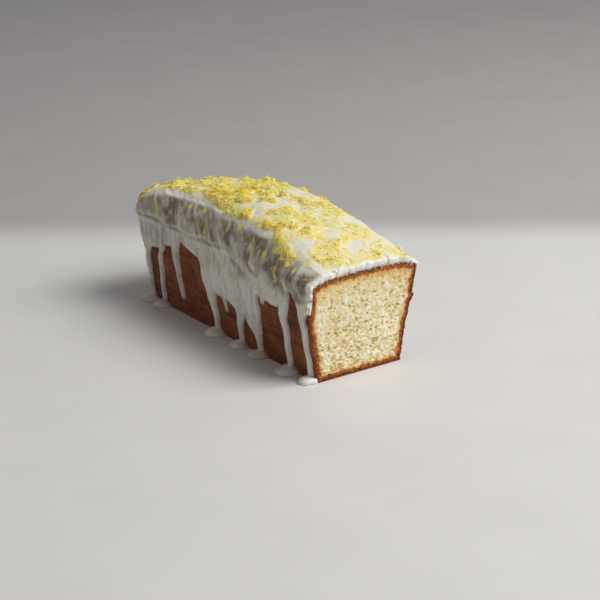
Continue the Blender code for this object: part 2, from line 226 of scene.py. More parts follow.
def wall_point(place, height):
    along, over = base_outline(place)
    front = lean(height, FRONT_LEAN)
    back = lean(height, BACK_LEAN)
    end = lean(height, END_LEAN)
    wider = 1.0 + (front + back) / BASE_WIDTH
    return along * (1.0 + end / BASE_LENGTH), over * wider - front, height + 0.0 * along


def crown_height(along):
    part = along / BASE_LENGTH
    short = np.clip(1.0 - part / CROWN_PLACE, 0.0, None)
    past = np.clip((part - CROWN_PLACE) / (1.0 - CROWN_PLACE), 0.0, None)
    rising = CROWN_HIGHEST - (CROWN_HIGHEST - CROWN_AT_CUT) * short ** CROWN_RISE_POWER
    falling = CROWN_HIGHEST - (CROWN_HIGHEST - CROWN_AT_END) * past ** CROWN_FALL_POWER
    return np.where(part < CROWN_PLACE, rising, falling)


def spine_point(along):
    """The dome's ridge, which stops half a width short of the far end."""
    return np.minimum(along, RIM_LENGTH - HALF_SPAN), HALF_SPAN - RIM_FRONT


def dome_point(place, reach):
    """A point of the dome; reach is 0 on the spine and 1 at the rim. Its level lines grow rounder inwards.

    Round the far end the dome grows blunter, with no crease where that starts, unlike in the CAD.
    """
    rim_along, rim_over, _ = wall_point(place, RIM_HEIGHT)
    spine_along, spine_over = spine_point(rim_along)
    span = np.hypot(rim_along - spine_along, rim_over - spine_over)
    rounded = reach * (reach ** 2 + (1.0 - reach ** 2) * HALF_SPAN / span)
    along = spine_along + rounded * (rim_along - spine_along)
    over = spine_over + rounded * (rim_over - spine_over)
    endward = (rim_along - spine_along) / span
    power = DOME_SIDE_POWER + (DOME_END_POWER - DOME_SIDE_POWER) * smoothstep(endward)
    rise = (1.0 - reach ** power) ** (1.0 / DOME_TOP_POWER)
    past = np.clip((along / BASE_LENGTH - CROWN_PLACE) / (1.0 - CROWN_PLACE), 0.0, None)
    rise = rise * (1.0 + FAR_TILT * past ** 2 * (spine_over - over) / HALF_SPAN)
    return along, over, RIM_HEIGHT + (crown_height(along) - RIM_HEIGHT) * rise


def outward(place):
    """The level direction that points straight out of the wall at a place on the girth."""
    turn = np.clip((place - SIDE_LENGTH) / CORNER_RADIUS, 0.0, 0.5 * math.pi)
    after_end = place - SIDE_LENGTH - CORNER_ARC - END_LENGTH
    turn = turn + np.clip(after_end / CORNER_RADIUS, 0.0, 0.5 * math.pi)
    return np.stack([np.sin(turn), -np.cos(turn), 0.0 * turn], -1)


def skin(places, reaches, heights):
    """Points of the loaf's surface, row by row from the spine to the base, and their outward directions."""
    rows = [dome_point(places, reach) for reach in reaches]
    rows += [wall_point(places, height) for height in heights]
    points = np.array(rows).transpose(0, 2, 1)
    level = outward(places)
    ways = np.broadcast_to(level, points.shape).copy()
    domed = len(reaches)
    up_rows = np.gradient(points[: domed + 1], axis=0)[:domed]
    round_rows = np.gradient(points[: domed + 1], axis=1)[:domed]
    normals = np.cross(round_rows, up_rows)
    size = np.linalg.norm(normals, axis=-1, keepdims=True)
    normals /= np.maximum(size, 1e-12)
    normals *= np.sign((normals * (level + [0.0, 0.0, 1.0])).sum(-1, keepdims=True))
    normals[size[..., 0] < 1e-10] = (0.0, 0.0, 1.0)
    normals[0] = (0.0, 0.0, 1.0)
    ways[:domed] = normals
    return points, ways


def hem_height(place):
    hem_places, hem_heights = np.array(HEM).T * MM
    return np.interp(place, hem_places, hem_heights)


def icing_cover(place, height):
    """How far inside the icing's outline a point of the wall lies, or less than 0 on bare crust."""
    inside = (height - hem_height(place)) * HEM_SLOPE
    for run in RUNS:
        foot, foot_half, top, top_half, top_height, tip = (MM * value for value in run[:6])
        part = np.clip((height - tip) / (top_height - tip), 0.0, 1.0)
        sway = np.sin(2.0 * math.pi * (height / SWAY_LENGTH + foot / SWAY_SPREAD))
        middle = foot + (top - foot) * part ** RUN_SLANT + RUN_SWAY * sway * np.sqrt(part)
        depth = foot_half + (top_half - foot_half) * part ** RUN_TAPER - np.abs(place - middle)
        if tip > 0.0:
            bead = foot_half - np.hypot(place - foot, height - tip - foot_half)
            depth = np.where(height < tip + foot_half, bead, depth)
        inside = smooth_max(inside, depth, FILLET)
    return inside


def pool_reach(place, height):
    """How far the pools at the foot stand out from the wall at a height."""
    reach = np.full(np.broadcast(place, height).shape, -BARE_DEPTH)
    for run in RUNS:
        foot, half_length, out = (MM * run[index] for index in (0, 6, 7))
        if half_length == 0.0:
            continue
        sideways = np.abs((place - foot) / half_length) ** POOL_ROUNDNESS
        upwards = (np.maximum(height, 0.0) / POOL_HEIGHT) ** POOL_ROUNDNESS
        left = 1.0 - sideways - upwards
        here = np.where(left > 0.0, out * np.maximum(left, 0.0) ** POOL_FULLNESS, -BARE_DEPTH)
        reach = np.maximum(reach, here)
    return reach


# ---------------------------------------------------------------- placing the cake on the CAD
SPONGE_LOW, SPONGE_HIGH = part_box("sponge")
WALL_SAMPLES = np.linspace(0.0, RIM_HEIGHT, 400)
CUT_X = SPONGE_HIGH.x
FRONT_Y = SPONGE_LOW.y + float(lean(WALL_SAMPLES, FRONT_LEAN).max())


def placed(points):
    """Points given as along, over and height, in the CAD's frame."""
    points = np.asarray(points)
    return np.stack([CUT_X - points[..., 0], FRONT_Y + points[..., 1], points[..., 2]], -1)


# ---------------------------------------------------------------- mesh helpers
# Points this close together become one: in a mesh as it is made, and after two meshes are cut.
JOINED_WITHIN, SAME_POINT = 2e-6, 2e-7


def new_piece(name, mesh, *looks):
    made = bpy.data.objects.new(name, mesh)
    bpy.context.scene.collection.objects.link(made)
    for look in looks:
        mesh.materials.append(look)
    return made


def grid_corners(grid):
    """The four corners of each cell of a grid."""
    return [grid[:-1, :-1], grid[1:, :-1], grid[1:, 1:], grid[:-1, 1:]]


def grid_faces(index):
    """The four-sided faces of a grid of point numbers."""
    return np.stack(grid_corners(index), -1).reshape(-1, 4).tolist()


def closed_skin(name, points):
    """A closed body from rows of points: the skin, the flat cut face and the flat underside."""
    row_count, column_count, _ = points.shape
    index = np.arange(row_count * column_count).reshape(row_count, column_count)
    faces = grid_faces(index)
    faces.append(index[:, 0].tolist() + index[::-1, -1].tolist())
    faces.append(index[-1].tolist())
    mesh = bpy.data.meshes.new(name)
    mesh.from_pydata(points.reshape(-1, 3).tolist(), [], faces)
    return new_piece(name, clean(mesh))


def clean(mesh):
    """Joins points that coincide, fills the gaps that are left and turns every face outwards."""
    shape = bmesh.new()
    shape.from_mesh(mesh)
    bmesh.ops.remove_doubles(shape, verts=shape.verts, dist=JOINED_WITHIN)
    bmesh.ops.dissolve_degenerate(shape, edges=shape.edges, dist=0.5 * JOINED_WITHIN)
    bmesh.ops.holes_fill(shape, edges=[edge for edge in shape.edges if edge.is_boundary], sides=0)
    bmesh.ops.triangulate(shape, faces=[face for face in shape.faces if len(face.verts) > 4])
    bmesh.ops.recalc_face_normals(shape, faces=shape.faces)
    shape.to_mesh(mesh)
    shape.free()
    return mesh


def drop_fins(mesh):
    """Takes out pairs of faces that lie back to back on the same corners, and joins the seam they leave."""
    shape = bmesh.new()
    shape.from_mesh(mesh)
    bmesh.ops.triangulate(shape, faces=shape.faces)
    bmesh.ops.remove_doubles(shape, verts=shape.verts, dist=SAME_POINT)
    pairs = {}
    for face in shape.faces:
        corners = frozenset(tuple(round(value / SAME_POINT) for value in vert.co) for vert in face.verts)
        pairs.setdefault(corners, []).append(face)
    fins = [face for faces in pairs.values() if len(faces) == 2 for face in faces]
    bmesh.ops.delete(shape, geom=fins, context="FACES")
    bmesh.ops.remove_doubles(shape, verts=shape.verts, dist=SAME_POINT)
    shape.to_mesh(mesh)
    shape.free()


def mesh_points(mesh):
    flat = np.empty(3 * len(mesh.vertices))
    mesh.vertices.foreach_get("co", flat)
    return flat.reshape(-1, 3)


def add_values(mesh, name, values):
    """Keeps one number for each point of a mesh, for its material to read."""
    layer = mesh.attributes.new(name, "FLOAT", "POINT")
    layer.data.foreach_set("value", np.asarray(values, np.float32).ravel())


def remove_piece(body):
    mesh = body.data
    bpy.data.objects.remove(body, do_unlink=True)
    bpy.data.meshes.remove(mesh)


def stretches(*parts):
    """Places from (start, stop, spacing) parts that follow each other."""
    places = [parts[0][0]]
    for start, stop, spacing in parts:
        count = max(1, round((stop - start) / spacing))
        places += list(np.linspace(start, stop, count + 1)[1:])
    return np.array(places)


def round_girth(start, stop, spacing, corner_spacing):
    """The stretches of the girth from start to stop, with a spacing of their own at the two corners."""
    far_corner = GIRTH - SIDE_LENGTH - CORNER_ARC
    marks = (start, SIDE_LENGTH, SIDE_LENGTH + CORNER_ARC, far_corner, GIRTH - SIDE_LENGTH, stop)
    spacings = (spacing, corner_spacing, spacing, corner_spacing, spacing)
    return list(zip(marks[:-1], marks[1:], spacings))


def dome_rows(count, power):
    """How far down the dome each row of points lies; the rows grow closer towards the rim."""
    return [1.0 - (1.0 - row / count) ** power for row in range(count)]


# ---------------------------------------------------------------- sponge: crust, crumb and pores
FACE_COLUMNS = 236
FACE_ROW_STEP = 0.00043
WALL_ROW_SKIP = 3
WALL_COLUMN_STEP = 0.0012
DOME_EDGE_ROWS = (0, 30, 55, 75, 90, 101, 108, 113, 116, 118)
DOME_FACE_ROWS = 14
PORE_COUNT = 700
CRUST_THICKNESS = 0.0043
TOP_CRUST_SHARE = 0.85
EDGE_RAG = 0.0011
# A bead of icing at the cut's back edge: its radius, its distance from the cut and its height.
BEAD_RADIUS, BEAD_IN, BEAD_HEIGHT = 0.0021, 0.0004, 0.0532
# Where the crust's edge stands out at the back of the cut: height, half height and how far.
BACK_SWELLS = ((0.062, 0.0080, 0.0006), (0.0495, 0.0032, 0.0016), (BEAD_HEIGHT, 0.0011, -0.0006))
# Each crease of the side crust: height, slope along the loaf, depth and width.
CREASES = (
    (0.0085, 0.010, 0.00055, 0.0010),
    (0.0150, -0.020, 0.00040, 0.0008),
    (0.0225, 0.030, 0.00050, 0.0010),
    (0.0310, 0.012, 0.00040, 0.0009),
    (0.0400, -0.018, 0.00032, 0.0008),
    (0.0490, 0.020, 0.00030, 0.0009),
)


def edge_rag(points):
    """How far the crust's torn edge stands out at the cut, most of all high up at the back."""
    height = points[..., 2]
    calm = smoothstep(height / 0.003)
    swell = 0.0
    for middle, half_height, out in BACK_SWELLS:
        swell = swell + out * hump(height, middle, half_height)
    swell = swell * (points[..., 1] > 0.5 * BASE_WIDTH)
    return swell + EDGE_RAG * calm * fractal(points * [0.0, 1.0, 1.0], 0.0036, 91, 3, 0.6)


def crumb_relief(points, edge_distance):
    """How deep each point of the cut face lies behind the cut, how much painted shade it gets as part of a
    pore, and the painted light and shade of its relief.
    """
    flat = points * [0.0, 1.0, 1.0]
    low = smoothstep(1.0 - points[:, 2] / RIM_HEIGHT)
    relief = 0.00026 * fractal(flat, 0.009, 3, 2)
    relief += (1.0 - low) * 0.00042 * fractal(flat, 0.0032, 5, 3, 0.6)
    relief += low * 0.00072 * fractal(flat, (0.003, 0.0026, 0.0019), 6, 3, 0.6)
    # How much painted shade each point gets as part of a pore.
    pore_shade = np.zeros(len(points))
    chance = np.random.default_rng(11)
    over_low, over_high = points[:, 1].min(), points[:, 1].max()
    for _ in range(PORE_COUNT):
        over = chance.uniform(over_low, over_high)
        height = chance.uniform(0.001, points[:, 2].max())
        lowness = 1.0 - height / RIM_HEIGHT
        radius = 0.00040 + 0.00075 * chance.random() ** 3.0
        width = radius * (1.0 + chance.random() * (0.5 + 1.6 * max(lowness, 0.0)))
        turn = chance.normal(0.0, 0.7 - 0.45 * max(lowness, 0.0))
        near = np.nonzero((abs(points[:, 1] - over) < 0.0035) & (abs(points[:, 2] - height) < 0.0035))[0]
        right = points[near, 1] - over
        up = points[near, 2] - height
        first = (right * math.cos(turn) + up * math.sin(turn)) / width
        second = (up * math.cos(turn) - right * math.sin(turn)) / radius
        inside = np.clip(1.0 - first ** 2 - second ** 2, 0.0, None)
        depth = radius * chance.uniform(0.2, 0.6)
        relief[near] += depth * np.sqrt(inside)
        pore_shade[near] = np.maximum(pore_shade[near], np.sqrt(inside) * chance.uniform(0.3, 1.0))
    # From 0 on the relief's lumps to 1 in its hollows, for painted light and shade.
    relief_light_and_shade = np.clip(0.5 + (relief - relief.mean()) / 0.0011, 0.0, 1.0)
    in_crumb = smoothstep((edge_distance - 0.0012) / 0.0015)
    relief = relief * (0.35 + 0.65 * in_crumb)
    pore_shade = pore_shade * in_crumb
    rim = smoothstep(edge_distance / 0.0012)
    return (relief + 0.00015) * rim, pore_shade, relief_light_and_shade


def crust_relief(points):
    """How far the side crust stands out: a fine grain, and the creases that the lining paper left."""
    grain = 0.00012 * fractal(points, 0.0022, 23, 2) + 0.00022 * fractal(points, 0.010, 29, 2)
    height = points[..., 2]
    sway = 0.0026 * noise(points, (0.05, 0.05, 0.2), 31) + 0.0008 * noise(points, 0.014, 37)
    creases = 0.0
    for level, slope, depth, width in CREASES:
        drift = height - level - slope * (points[..., 0] - 0.12) - sway
        strength = smoothstep(1.4 * noise(points + level, (0.045, 0.045, 0.045), 41) + 0.55)
        creases = creases - depth * np.exp(-(drift / width) ** 2) * strength
    return grain + creases


def sponge_mesh():
    """One closed body: a fine cut face, fine walls, and a coarse dome and underside, which are hidden."""
    wall_rows = WALL_ROW_SKIP * round(RIM_HEIGHT / FACE_ROW_STEP / WALL_ROW_SKIP)
    edge_heights = np.linspace(0.0, RIM_HEIGHT, wall_rows + 1)
    front = np.stack(wall_point(np.zeros_like(edge_heights), edge_heights), -1)
    back = np.stack(wall_point(np.full_like(edge_heights, GIRTH), edge_heights), -1)
    front = front - [0.0, 1.0, 0.0] * edge_rag(front)[:, None]
    back = back + [0.0, 1.0, 0.0] * edge_rag(back)[:, None]
    across = np.linspace(0.0, 1.0, FACE_COLUMNS + 1)[None, :, None]
    lower = front[:, None] * (1.0 - across) + back[:, None] * across
    reach = np.abs(np.linspace(-1.0, 1.0, FACE_COLUMNS + 1))
    sides = np.where(np.arange(FACE_COLUMNS + 1) <= FACE_COLUMNS // 2, 0.0, GIRTH)
    arch = np.stack(dome_point(sides, reach), -1)
    rising = np.linspace(0.0, 1.0, DOME_FACE_ROWS + 1)[1:, None, None]
    upper = lower[-1] * (1.0 - rising) + arch * rising
    face = np.concatenate([lower, upper])
    outline = np.concatenate([front, back[::-1], lower[0]])
    arch_height = np.interp(face[..., 1], arch[:, 1], arch[:, 2])
    below_top = np.maximum(arch_height - face[..., 2], 0.0).ravel()

    flat = face.reshape(-1, 3)
    edge_distance = np.empty(len(flat))
    for start in range(0, len(flat), 4000):
        gaps = flat[start:start + 4000, None, 1:] - outline[None, :, 1:]
        edge_distance[start:start + 4000] = np.sqrt((gaps ** 2).sum(-1)).min(1)
        gaps = flat[start:start + 4000, None, 1:] - arch[None, :, 1:]
        from_top = TOP_CRUST_SHARE * np.sqrt((gaps ** 2).sum(-1)).min(1)
        edge_distance[start:start + 4000] = np.minimum(edge_distance[start:start + 4000], from_top)
    relief, pore_shade, relief_light_and_shade = crumb_relief(flat, edge_distance)
    flat = flat + np.stack([relief, 0.0 * relief, 0.0 * relief], -1)

    places = stretches(*round_girth(0.0, GIRTH, WALL_COLUMN_STEP, WALL_COLUMN_STEP))[1:-1]
    half = FACE_COLUMNS // 2
    reaches = [row / half for row in DOME_EDGE_ROWS]
    heights = edge_heights[::-WALL_ROW_SKIP]
    points, ways = skin(places, reaches, list(heights))
    calm = smoothstep(points[..., 2:] / 0.002)
    torn = edge_rag(points) * np.exp(-(points[..., 0] / 0.004) ** 2)
    points = points + ways * (crust_relief(points)[..., None] * calm + torn[..., None])

    # Point numbers of the skin's rows, with the cut face's own edge points at both their ends.
    face_index = np.arange(len(flat)).reshape(face.shape[:2])
    skin_index = len(flat) + np.arange(points.shape[0] * points.shape[1]).reshape(points.shape[:2])
    front_edge = list(face_index[-1, half::-1]) + list(face_index[wall_rows::-1, 0])[1:]
    back_edge = list(face_index[-1, half:]) + list(face_index[wall_rows::-1, -1])[1:]
    marks = list(DOME_EDGE_ROWS) + [half + row for row in range(0, wall_rows + 1, WALL_ROW_SKIP)]
    faces = grid_faces(skin_index)
    for row, (first, last) in enumerate(zip(marks[:-1], marks[1:])):
        faces.append(front_edge[first:last + 1] + [skin_index[row + 1, 0], skin_index[row, 0]])
        faces.append([skin_index[row, -1], skin_index[row + 1, -1]] + back_edge[first:last + 1][::-1])
    underside = list(face_index[0]) + list(skin_index[-1, ::-1])
    faces.append(underside)
    faces = [[int(number) for number in face] for face in faces]
    crust_faces = len(faces)
    # The ends of the cut face's upper rows all lie on the rim's level: clean() fills the slit there.
    corners = [face_index[:-1, :-1], face_index[:-1, 1:], face_index[1:, 1:], face_index[1:, :-1]]
    faces += np.stack(corners, -1).reshape(-1, 4).tolist()

    mesh = bpy.data.meshes.new("cake_sponge")
    everything = np.concatenate([flat, points.reshape(-1, 3)])
    mesh.from_pydata(placed(everything).tolist(), [], faces)
    on_skin = np.zeros(points.shape[0] * points.shape[1])
    values = {"edge_distance": edge_distance, "pore_shade": pore_shade, "relief_light_and_shade": relief_light_and_shade, "below_top": below_top}
    for key, value in values.items():
        add_values(mesh, key, np.concatenate([value, on_skin]))
    shown = np.zeros(len(faces), np.int32)
    shown[crust_faces:] = 1
    mesh.polygons.foreach_set("material_index", shown)
    return clean(mesh)


# ---------------------------------------------------------------- lemon zest: where it lies
# Each heap of zest on the top: along, over, half length and half width in millimetres, the turn
# of its long side in degrees, how densely it is strewn, how golden it is, and its height.
HEAPS = (
    (160, 19, 15, 8, 0, 1.0, 1.0, 1.6), (147, 22, 9, 5, 0, 1.0, 0.9, 1.3),
    (103, 11, 7, 6, 0, 1.0, 1.0, 1.8), (122, 5, 7, 4, 0, 0.7, 0.6, 0.8),
    (137, 13, 12, 6, 0, 0.90, 0.6, 0.9), (123, 22, 10, 5, 0, 0.95, 0.8, 1.1),
    (107, 33, 10, 5, 0, 1.0, 0.8, 1.4), (138, 31, 9, 6, 0, 1.0, 0.9, 1.5),
    (140, 41, 10, 5, 0, 1.0, 0.9, 1.5), (121, 40, 10, 6, 0, 0.95, 0.6, 1.3),
    (98, 53, 7, 4, 0, 0.95, 0.9, 1.1), (82, 66, 7, 5, 0, 0.8, 0.6, 0.9),
    (66, 16, 7, 4, 0, 1.0, 0.9, 1.4), (76, 12, 7, 4, 0, 1.0, 0.9, 1.4),
    (56, 9, 7, 4, 0, 1.0, 0.9, 1.4), (50, 27, 5, 8, 0, 0.95, 0.8, 1.3),
    (61, 24, 6, 6, 0, 0.9, 0.7, 1.2), (80, 33, 10, 7, 0, 0.75, 0.6, 0.8),
    (88, 23, 5, 5, 0, 0.6, 0.4, 0.6), (29, 36, 5, 7, 0, 0.7, 0.5, 0.8),
    (44, 4, 7, 5, 0, 0.95, 0.8, 1.3), (31, 2, 6, 5, 0, 0.85, 0.6, 1.0),
    (16, 16, 7, 4, 0, 0.85, 0.7, 0.9), (12, 25, 9, 4, 0, 0.6, 0.3, 0.5),
    (38, 57, 7, 6, 0, 0.65, 0.4, 0.7), (8, 56, 6, 8, 0, 0.7, 0.5, 0.8),
    (67, 62, 7, 11, 0, 0.65, 0.4, 0.7), (75, 46, 8, 7, 0, 0.5, 0.2, 0.4),
    (86, 54, 6, 6, 0, 0.6, 0.3, 0.5), (52, 44, 7, 6, 0, 0.45, 0.2, 0.3),
    (18, 68, 7, 5, 0, 0.45, 0.3, 0.4), (245, 82, 8, 10, 0, 1.0, 0.9, 1.8),
    (203, 86, 16, 5, 0, 0.95, 0.8, 1.6), (178, 87, 12, 4, 0, 0.8, 0.6, 1.0),
    (148, 88, 12, 3, 0, 0.7, 0.5, 0.9), (125, 89, 10, 3, 0, 0.6, 0.5, 0.8),
    (92, 87, 11, 4, 0, 0.65, 0.4, 0.7), (66, 84, 9, 5, 0, 0.5, 0.3, 0.5),
    (234, 20, 12, 5, 0, 0.9, 0.5, 1.6), (244, 8, 7, 8, 0, 0.9, 0.4, 2.4),
    (214, 14, 13, 6, 0, 0.8, 0.4, 1.0), (190, 14, 12, 5, 0, 0.7, 0.5, 0.9),
    (212, 32, 16, 9, 0, 0.7, 0.3, 0.9), (236, 42, 10, 12, 0, 0.7, 0.3, 1.0),
    (186, 42, 16, 6, 0, 0.75, 0.6, 0.9), (208, 58, 20, 6, 30, 0.7, 0.4, 0.8),
    (180, 62, 18, 8, 30, 0.75, 0.5, 0.9), (158, 64, 16, 8, 0, 0.75, 0.4, 0.9),
    (232, 64, 12, 10, 0, 0.75, 0.4, 1.0), (150, 78, 20, 6, 0, 0.6, 0.3, 0.6),
    (8, 30, 6, 8, 0, 0.6, 0.3, 0.3), (7, 47, 4, 5, 0, 0.55, 0.5, 0.3),
)
# Single fluffy clumps that stand up: along, over, radius, height and how golden.
CLUMPS = (
    (155, 44, 3.4, 4.0, 0.3), (142, 46, 3.4, 3.0, 0.6), (130, 48, 4.0, 3.0, 0.5),
    (109, 48, 3.0, 3.0, 0.3), (119, 45, 3.0, 2.6, 0.8), (92, 52, 2.8, 3.0, 0.2),
    (84, 68, 2.6, 2.0, 0.4), (247, 4, 4.5, 3.6, 0.5), (239, 11, 3.6, 4.0, 0.4),
    (224, 21, 4.4, 3.0, 0.3), (12, 82, 1.3, 1.4, 0.2), (4, 90, 1.2, 1.2, 0.1),
    (34, 76, 1.6, 1.2, 0.2), (62, 13, 3.5, 2.2, 1.0), (102, 10, 4.0, 2.4, 1.0),
    (40, 3, 3.0, 2.0, 0.7), (72, 14, 3.0, 2.0, 0.9), (170, 22, 5.0, 2.2, 1.0),
    (186, 62, 4.0, 2.4, 0.5), (205, 77, 3.4, 6.5, 0.0), (165, 71, 5.0, 4.6, 0.4),
    (173, 69, 4.0, 3.8, 0.5), (149, 73, 4.2, 2.6, 0.3), (124, 76, 4.2, 2.0, 0.4),
    (233, 26, 4.6, 5.2, 0.4), (234, 38, 5.0, 4.4, 0.3), (231, 56, 6.0, 3.8, 0.3),
    (103, 78, 3.8, 1.4, 0.3),
)
# Where the white icing stays nearly free of zest, given in the same way as the heaps' outlines.
BARE_STRETCHES = (
    (113, 20, 9, 5, 0), (95, 33, 8, 16, 0), (37, 15, 8, 7, 0), (38, 41, 7, 9, 0),
    (21, 45, 6, 7, 0), (35, 82, 24, 9, 0), (54, 66, 5, 6, 0), (95, 78, 15, 7, 0),
    (113, 66, 8, 11, 0), (186, 2, 16, 3, 0), (196, 63, 46, 4.2, 33), (130, 74, 7, 9, 0),
    (232, 8, 9, 6, 0), (8, 36, 4, 7, 0), (203, 8, 9, 3, 0), (2, 14, 3, 10, 0),
)
# Trickles of zest that slid down the front: along and height of the middle, half width and half
# height in millimetres, and how dense they are.
TRICKLES = (
    (200, 92, 1.2, 3.0, 0.37), (181, 88, 1.0, 2.5, 0.31), (170, 92, 1.3, 3.5, 0.43),
    (142, 83, 1.3, 4.5, 0.50), (113, 91, 1.3, 3.5, 0.37), (98, 94, 1.4, 3.5, 0.43),
    (81, 87, 1.3, 3.5, 0.37), (212, 82, 1.1, 2.5, 0.31), (194, 84, 1.0, 2.5, 0.25),
    (81, 83, 1.3, 4.0, 0.37), (106, 78, 1.1, 3.0, 0.25), (62, 82, 1.8, 2.5, 0.70),
    (50, 88, 5.0, 3.0, 0.80), (41, 87, 4.0, 4.5, 1.00), (33, 84, 3.5, 3.5, 0.90),
    (123, 88, 1.0, 2.5, 0.31), (101, 92, 1.2, 3.0, 0.37), (158, 91, 1.0, 3.0, 0.31),
    (43, 72, 1.2, 7.0, 0.31), (124, 79, 1.0, 2.5, 0.25), (70, 76, 1.0, 3.0, 0.25),
    (92, 86, 1.0, 2.5, 0.25), (222, 87, 1.2, 2.5, 0.31), (150, 94, 1.5, 3.0, 0.43),
    (104, 55, 1.0, 5.0, 0.19), (133, 60, 1.0, 6.0, 0.22), (24, 80, 1.5, 3.0, 0.31),
    (232, 84, 1.0, 3.0, 0.25),
)
NEAR_WASH, FAR_WASH = 0.46, 0.66
WASH_FROM, WASH_TO = 0.100, 0.125


def spot_distance(along, over, spot):
    """How far points lie from the middle of an oval spot, in its own half widths."""
    middle_along, middle_over, half_length, half_width = (MM * value for value in spot[:4])
    turn = math.radians(spot[4])
    first = (along - middle_along) * math.cos(turn) + (over - middle_over) * math.sin(turn)
    second = (over - middle_over) * math.cos(turn) - (along - middle_along) * math.sin(turn)
    return np.hypot(first / half_length, second / half_width)


def zest_cover(points):
    """Where zest is strewn on the top, from 0 to 1, how golden it is there and how high it lies."""
    sway = 0.0024 * np.stack([fractal(points, 0.009, 51, 2), fractal(points, 0.009, 55, 2)], -1)
    along = points[..., 0] + sway[..., 0]
    over = points[..., 1] + sway[..., 1]
    wash = NEAR_WASH + (FAR_WASH - NEAR_WASH) * smoothstep((along - WASH_FROM) / (WASH_TO - WASH_FROM))
    cover = wash * (1.0 + 1.1 * fractal(points, (0.012, 0.008, 0.02), 57, 3))
    gold = np.clip(0.25 + 0.5 * noise(points, 0.010, 58), 0.0, 1.0)
    mound = np.zeros(along.shape)
    frayed = 0.60 * fractal(points, 0.0070, 59, 2) + 0.45 * noise(points, 0.0024, 60)
    for bare in BARE_STRETCHES:
        gone = 1.0 - smoothstep((spot_distance(along, over, bare) + frayed - 0.5) / 0.9)
        cover = cover * (1.0 - 0.86 * gone)
    for heap in HEAPS:
        dense, golden, high = heap[5:]
        shape = 1.0 - smoothstep((spot_distance(along, over, heap) - 0.45) / 0.85)
        gold = gold + (golden - gold) * smoothstep(shape / 0.6)
        cover = np.maximum(cover, dense * shape)
        mound = np.maximum(mound, MM * high * shape)
    for middle_along, middle_over, radius, high, golden in CLUMPS:
        distance = spot_distance(along, over, (middle_along, middle_over, radius, radius, 0))
        shape = np.clip(1.0 - distance ** 2, 0.0, 1.0)
        gold = gold + (golden - gold) * smoothstep(shape / 0.4)
        cover = np.maximum(cover, smoothstep(shape / 0.5))
        mound = np.maximum(mound, MM * high * shape ** 0.7)
    mound = mound * (1.15 - 0.50 * smoothstep((along - 0.142) / 0.015))
    ragged = 0.85 + 0.75 * noise(points, 0.0042, 53)
    return np.clip(cover * ragged, 0.0, 1.0), gold, mound * np.clip(0.45 + 0.55 * ragged, 0.4, 1.2)


# ---------------------------------------------------------------- icing: poured, rippled, in runs
ICING_STEP = 0.00090
# Close to the cut the columns of points stand closer together.
FINE_LENGTH, FINE_STEP = 0.0030, 0.00030
ICING_DOME_ROWS = 64
ICING_WALL_STEP = 0.00090
FOOT_ROWS = 12
FOOT_ROWS_TOP = 1.2 * POOL_HEIGHT
CUT_LIP_START = -0.0009
CUT_LIP_LENGTH = 0.0013
SINK = 0.0002
OVERCUT = 0.006
# At the cut's front edge the icing is torn at one height, and lumpy and white just below that.
TEAR_HEIGHT, FRONT_LUMP_HEIGHT = 0.0645, 0.0580
# The icing hangs out over the rim at the far front corner, and is thinner under it: place and half
# width along the girth, then the height, half height and amount of each.
CORNER_PLACE, CORNER_HALF = 0.236, 0.018
CORNER_SWELLS = ((0.077, 0.011, 0.0024), (0.050, 0.008, -0.0014))

# The dull flank of the icing, dull partly from thin icing and partly as painted shade, in millimetres:
# along, and the heights of its top and of its foot.
FLANK = (
    (0, 80, 58), (12, 82, 58), (24, 84.5, 58), (37, 85, 59), (52, 88.5, 60), (61, 90.5, 61),
    (71, 92.5, 63), (88, 95, 70), (102, 96, 73), (113, 95.5, 75), (126, 95.5, 75), (142, 97.5, 73),
    (158, 98.3, 73), (179, 97, 73), (200, 94.5, 73), (219, 92, 73), (230, 89.5, 73),
    (242, 86, 73), (252, 82, 73),
)
# The fold along the flank's foot, which sags where two swags of icing met and carries a painted shadow:
# along and height.
FOLD = ((256, 73.5), (210, 73), (175, 73), (146, 73), (114, 76), (94, 73), (80, 67.5))
SWAG = ((97, 82), (93, 80), (85, 76), (80, 69))
# Where the icing is thinnest: along, height, half length, half height and how thin.
THIN_PATCHES = (
    (186, 89, 16, 4, 0.30), (222, 87, 14, 4, 0.15), (145, 84, 22, 4, 0.25), (108, 87, 12, 5, 0.30),
    (86, 88, 14, 6, 0.50), (76, 80, 14, 6, 0.45), (86, 70, 12, 5, 0.50), (12, 68, 8, 8, 0.22),
    (36, 72, 18, 6, 0.30), (58, 77, 12, 6, 0.35), (205, 80, 18, 4, 0.15),
)

# Where the flank's icing stays white: along, height, half length, half height and how white.
WHITE_PATCHES = ((13, 73, 8, 9, 0.40), (28, 62, 8, 5, 0.25))
# Where the curtain below the fold is dull: along, height, half length, half height and how dull.
DULL_PATCHES = (
    (88, 64, 8, 6, 0.40), (100, 69, 15, 5, 0.35), (74, 58, 5, 5, 0.20), (134, 60, 8, 9, 0.12),
)


def flank_part(reach):
    """From 0 on the top of the dome to 1 on its steep flank."""
    return smoothstep((reach - 0.72) / 0.20)


def line_distance(along, height, line):
    """The distance from points to a line drawn on the side of the loaf."""
    nearest = np.full(np.broadcast(along, height).shape, 1.0)
    marks = MM * np.array(line, float)
    for (start_along, start_height), (end_along, end_height) in zip(marks[:-1], marks[1:]):
        run, rise = end_along - start_along, end_height - start_height
        part = ((along - start_along) * run + (height - start_height) * rise) / (run ** 2 + rise ** 2)
        part = np.clip(part, 0.0, 1.0)
        gap = np.hypot(along - start_along - part * run, height - start_height - part * rise)
        nearest = np.minimum(nearest, gap)
    return nearest


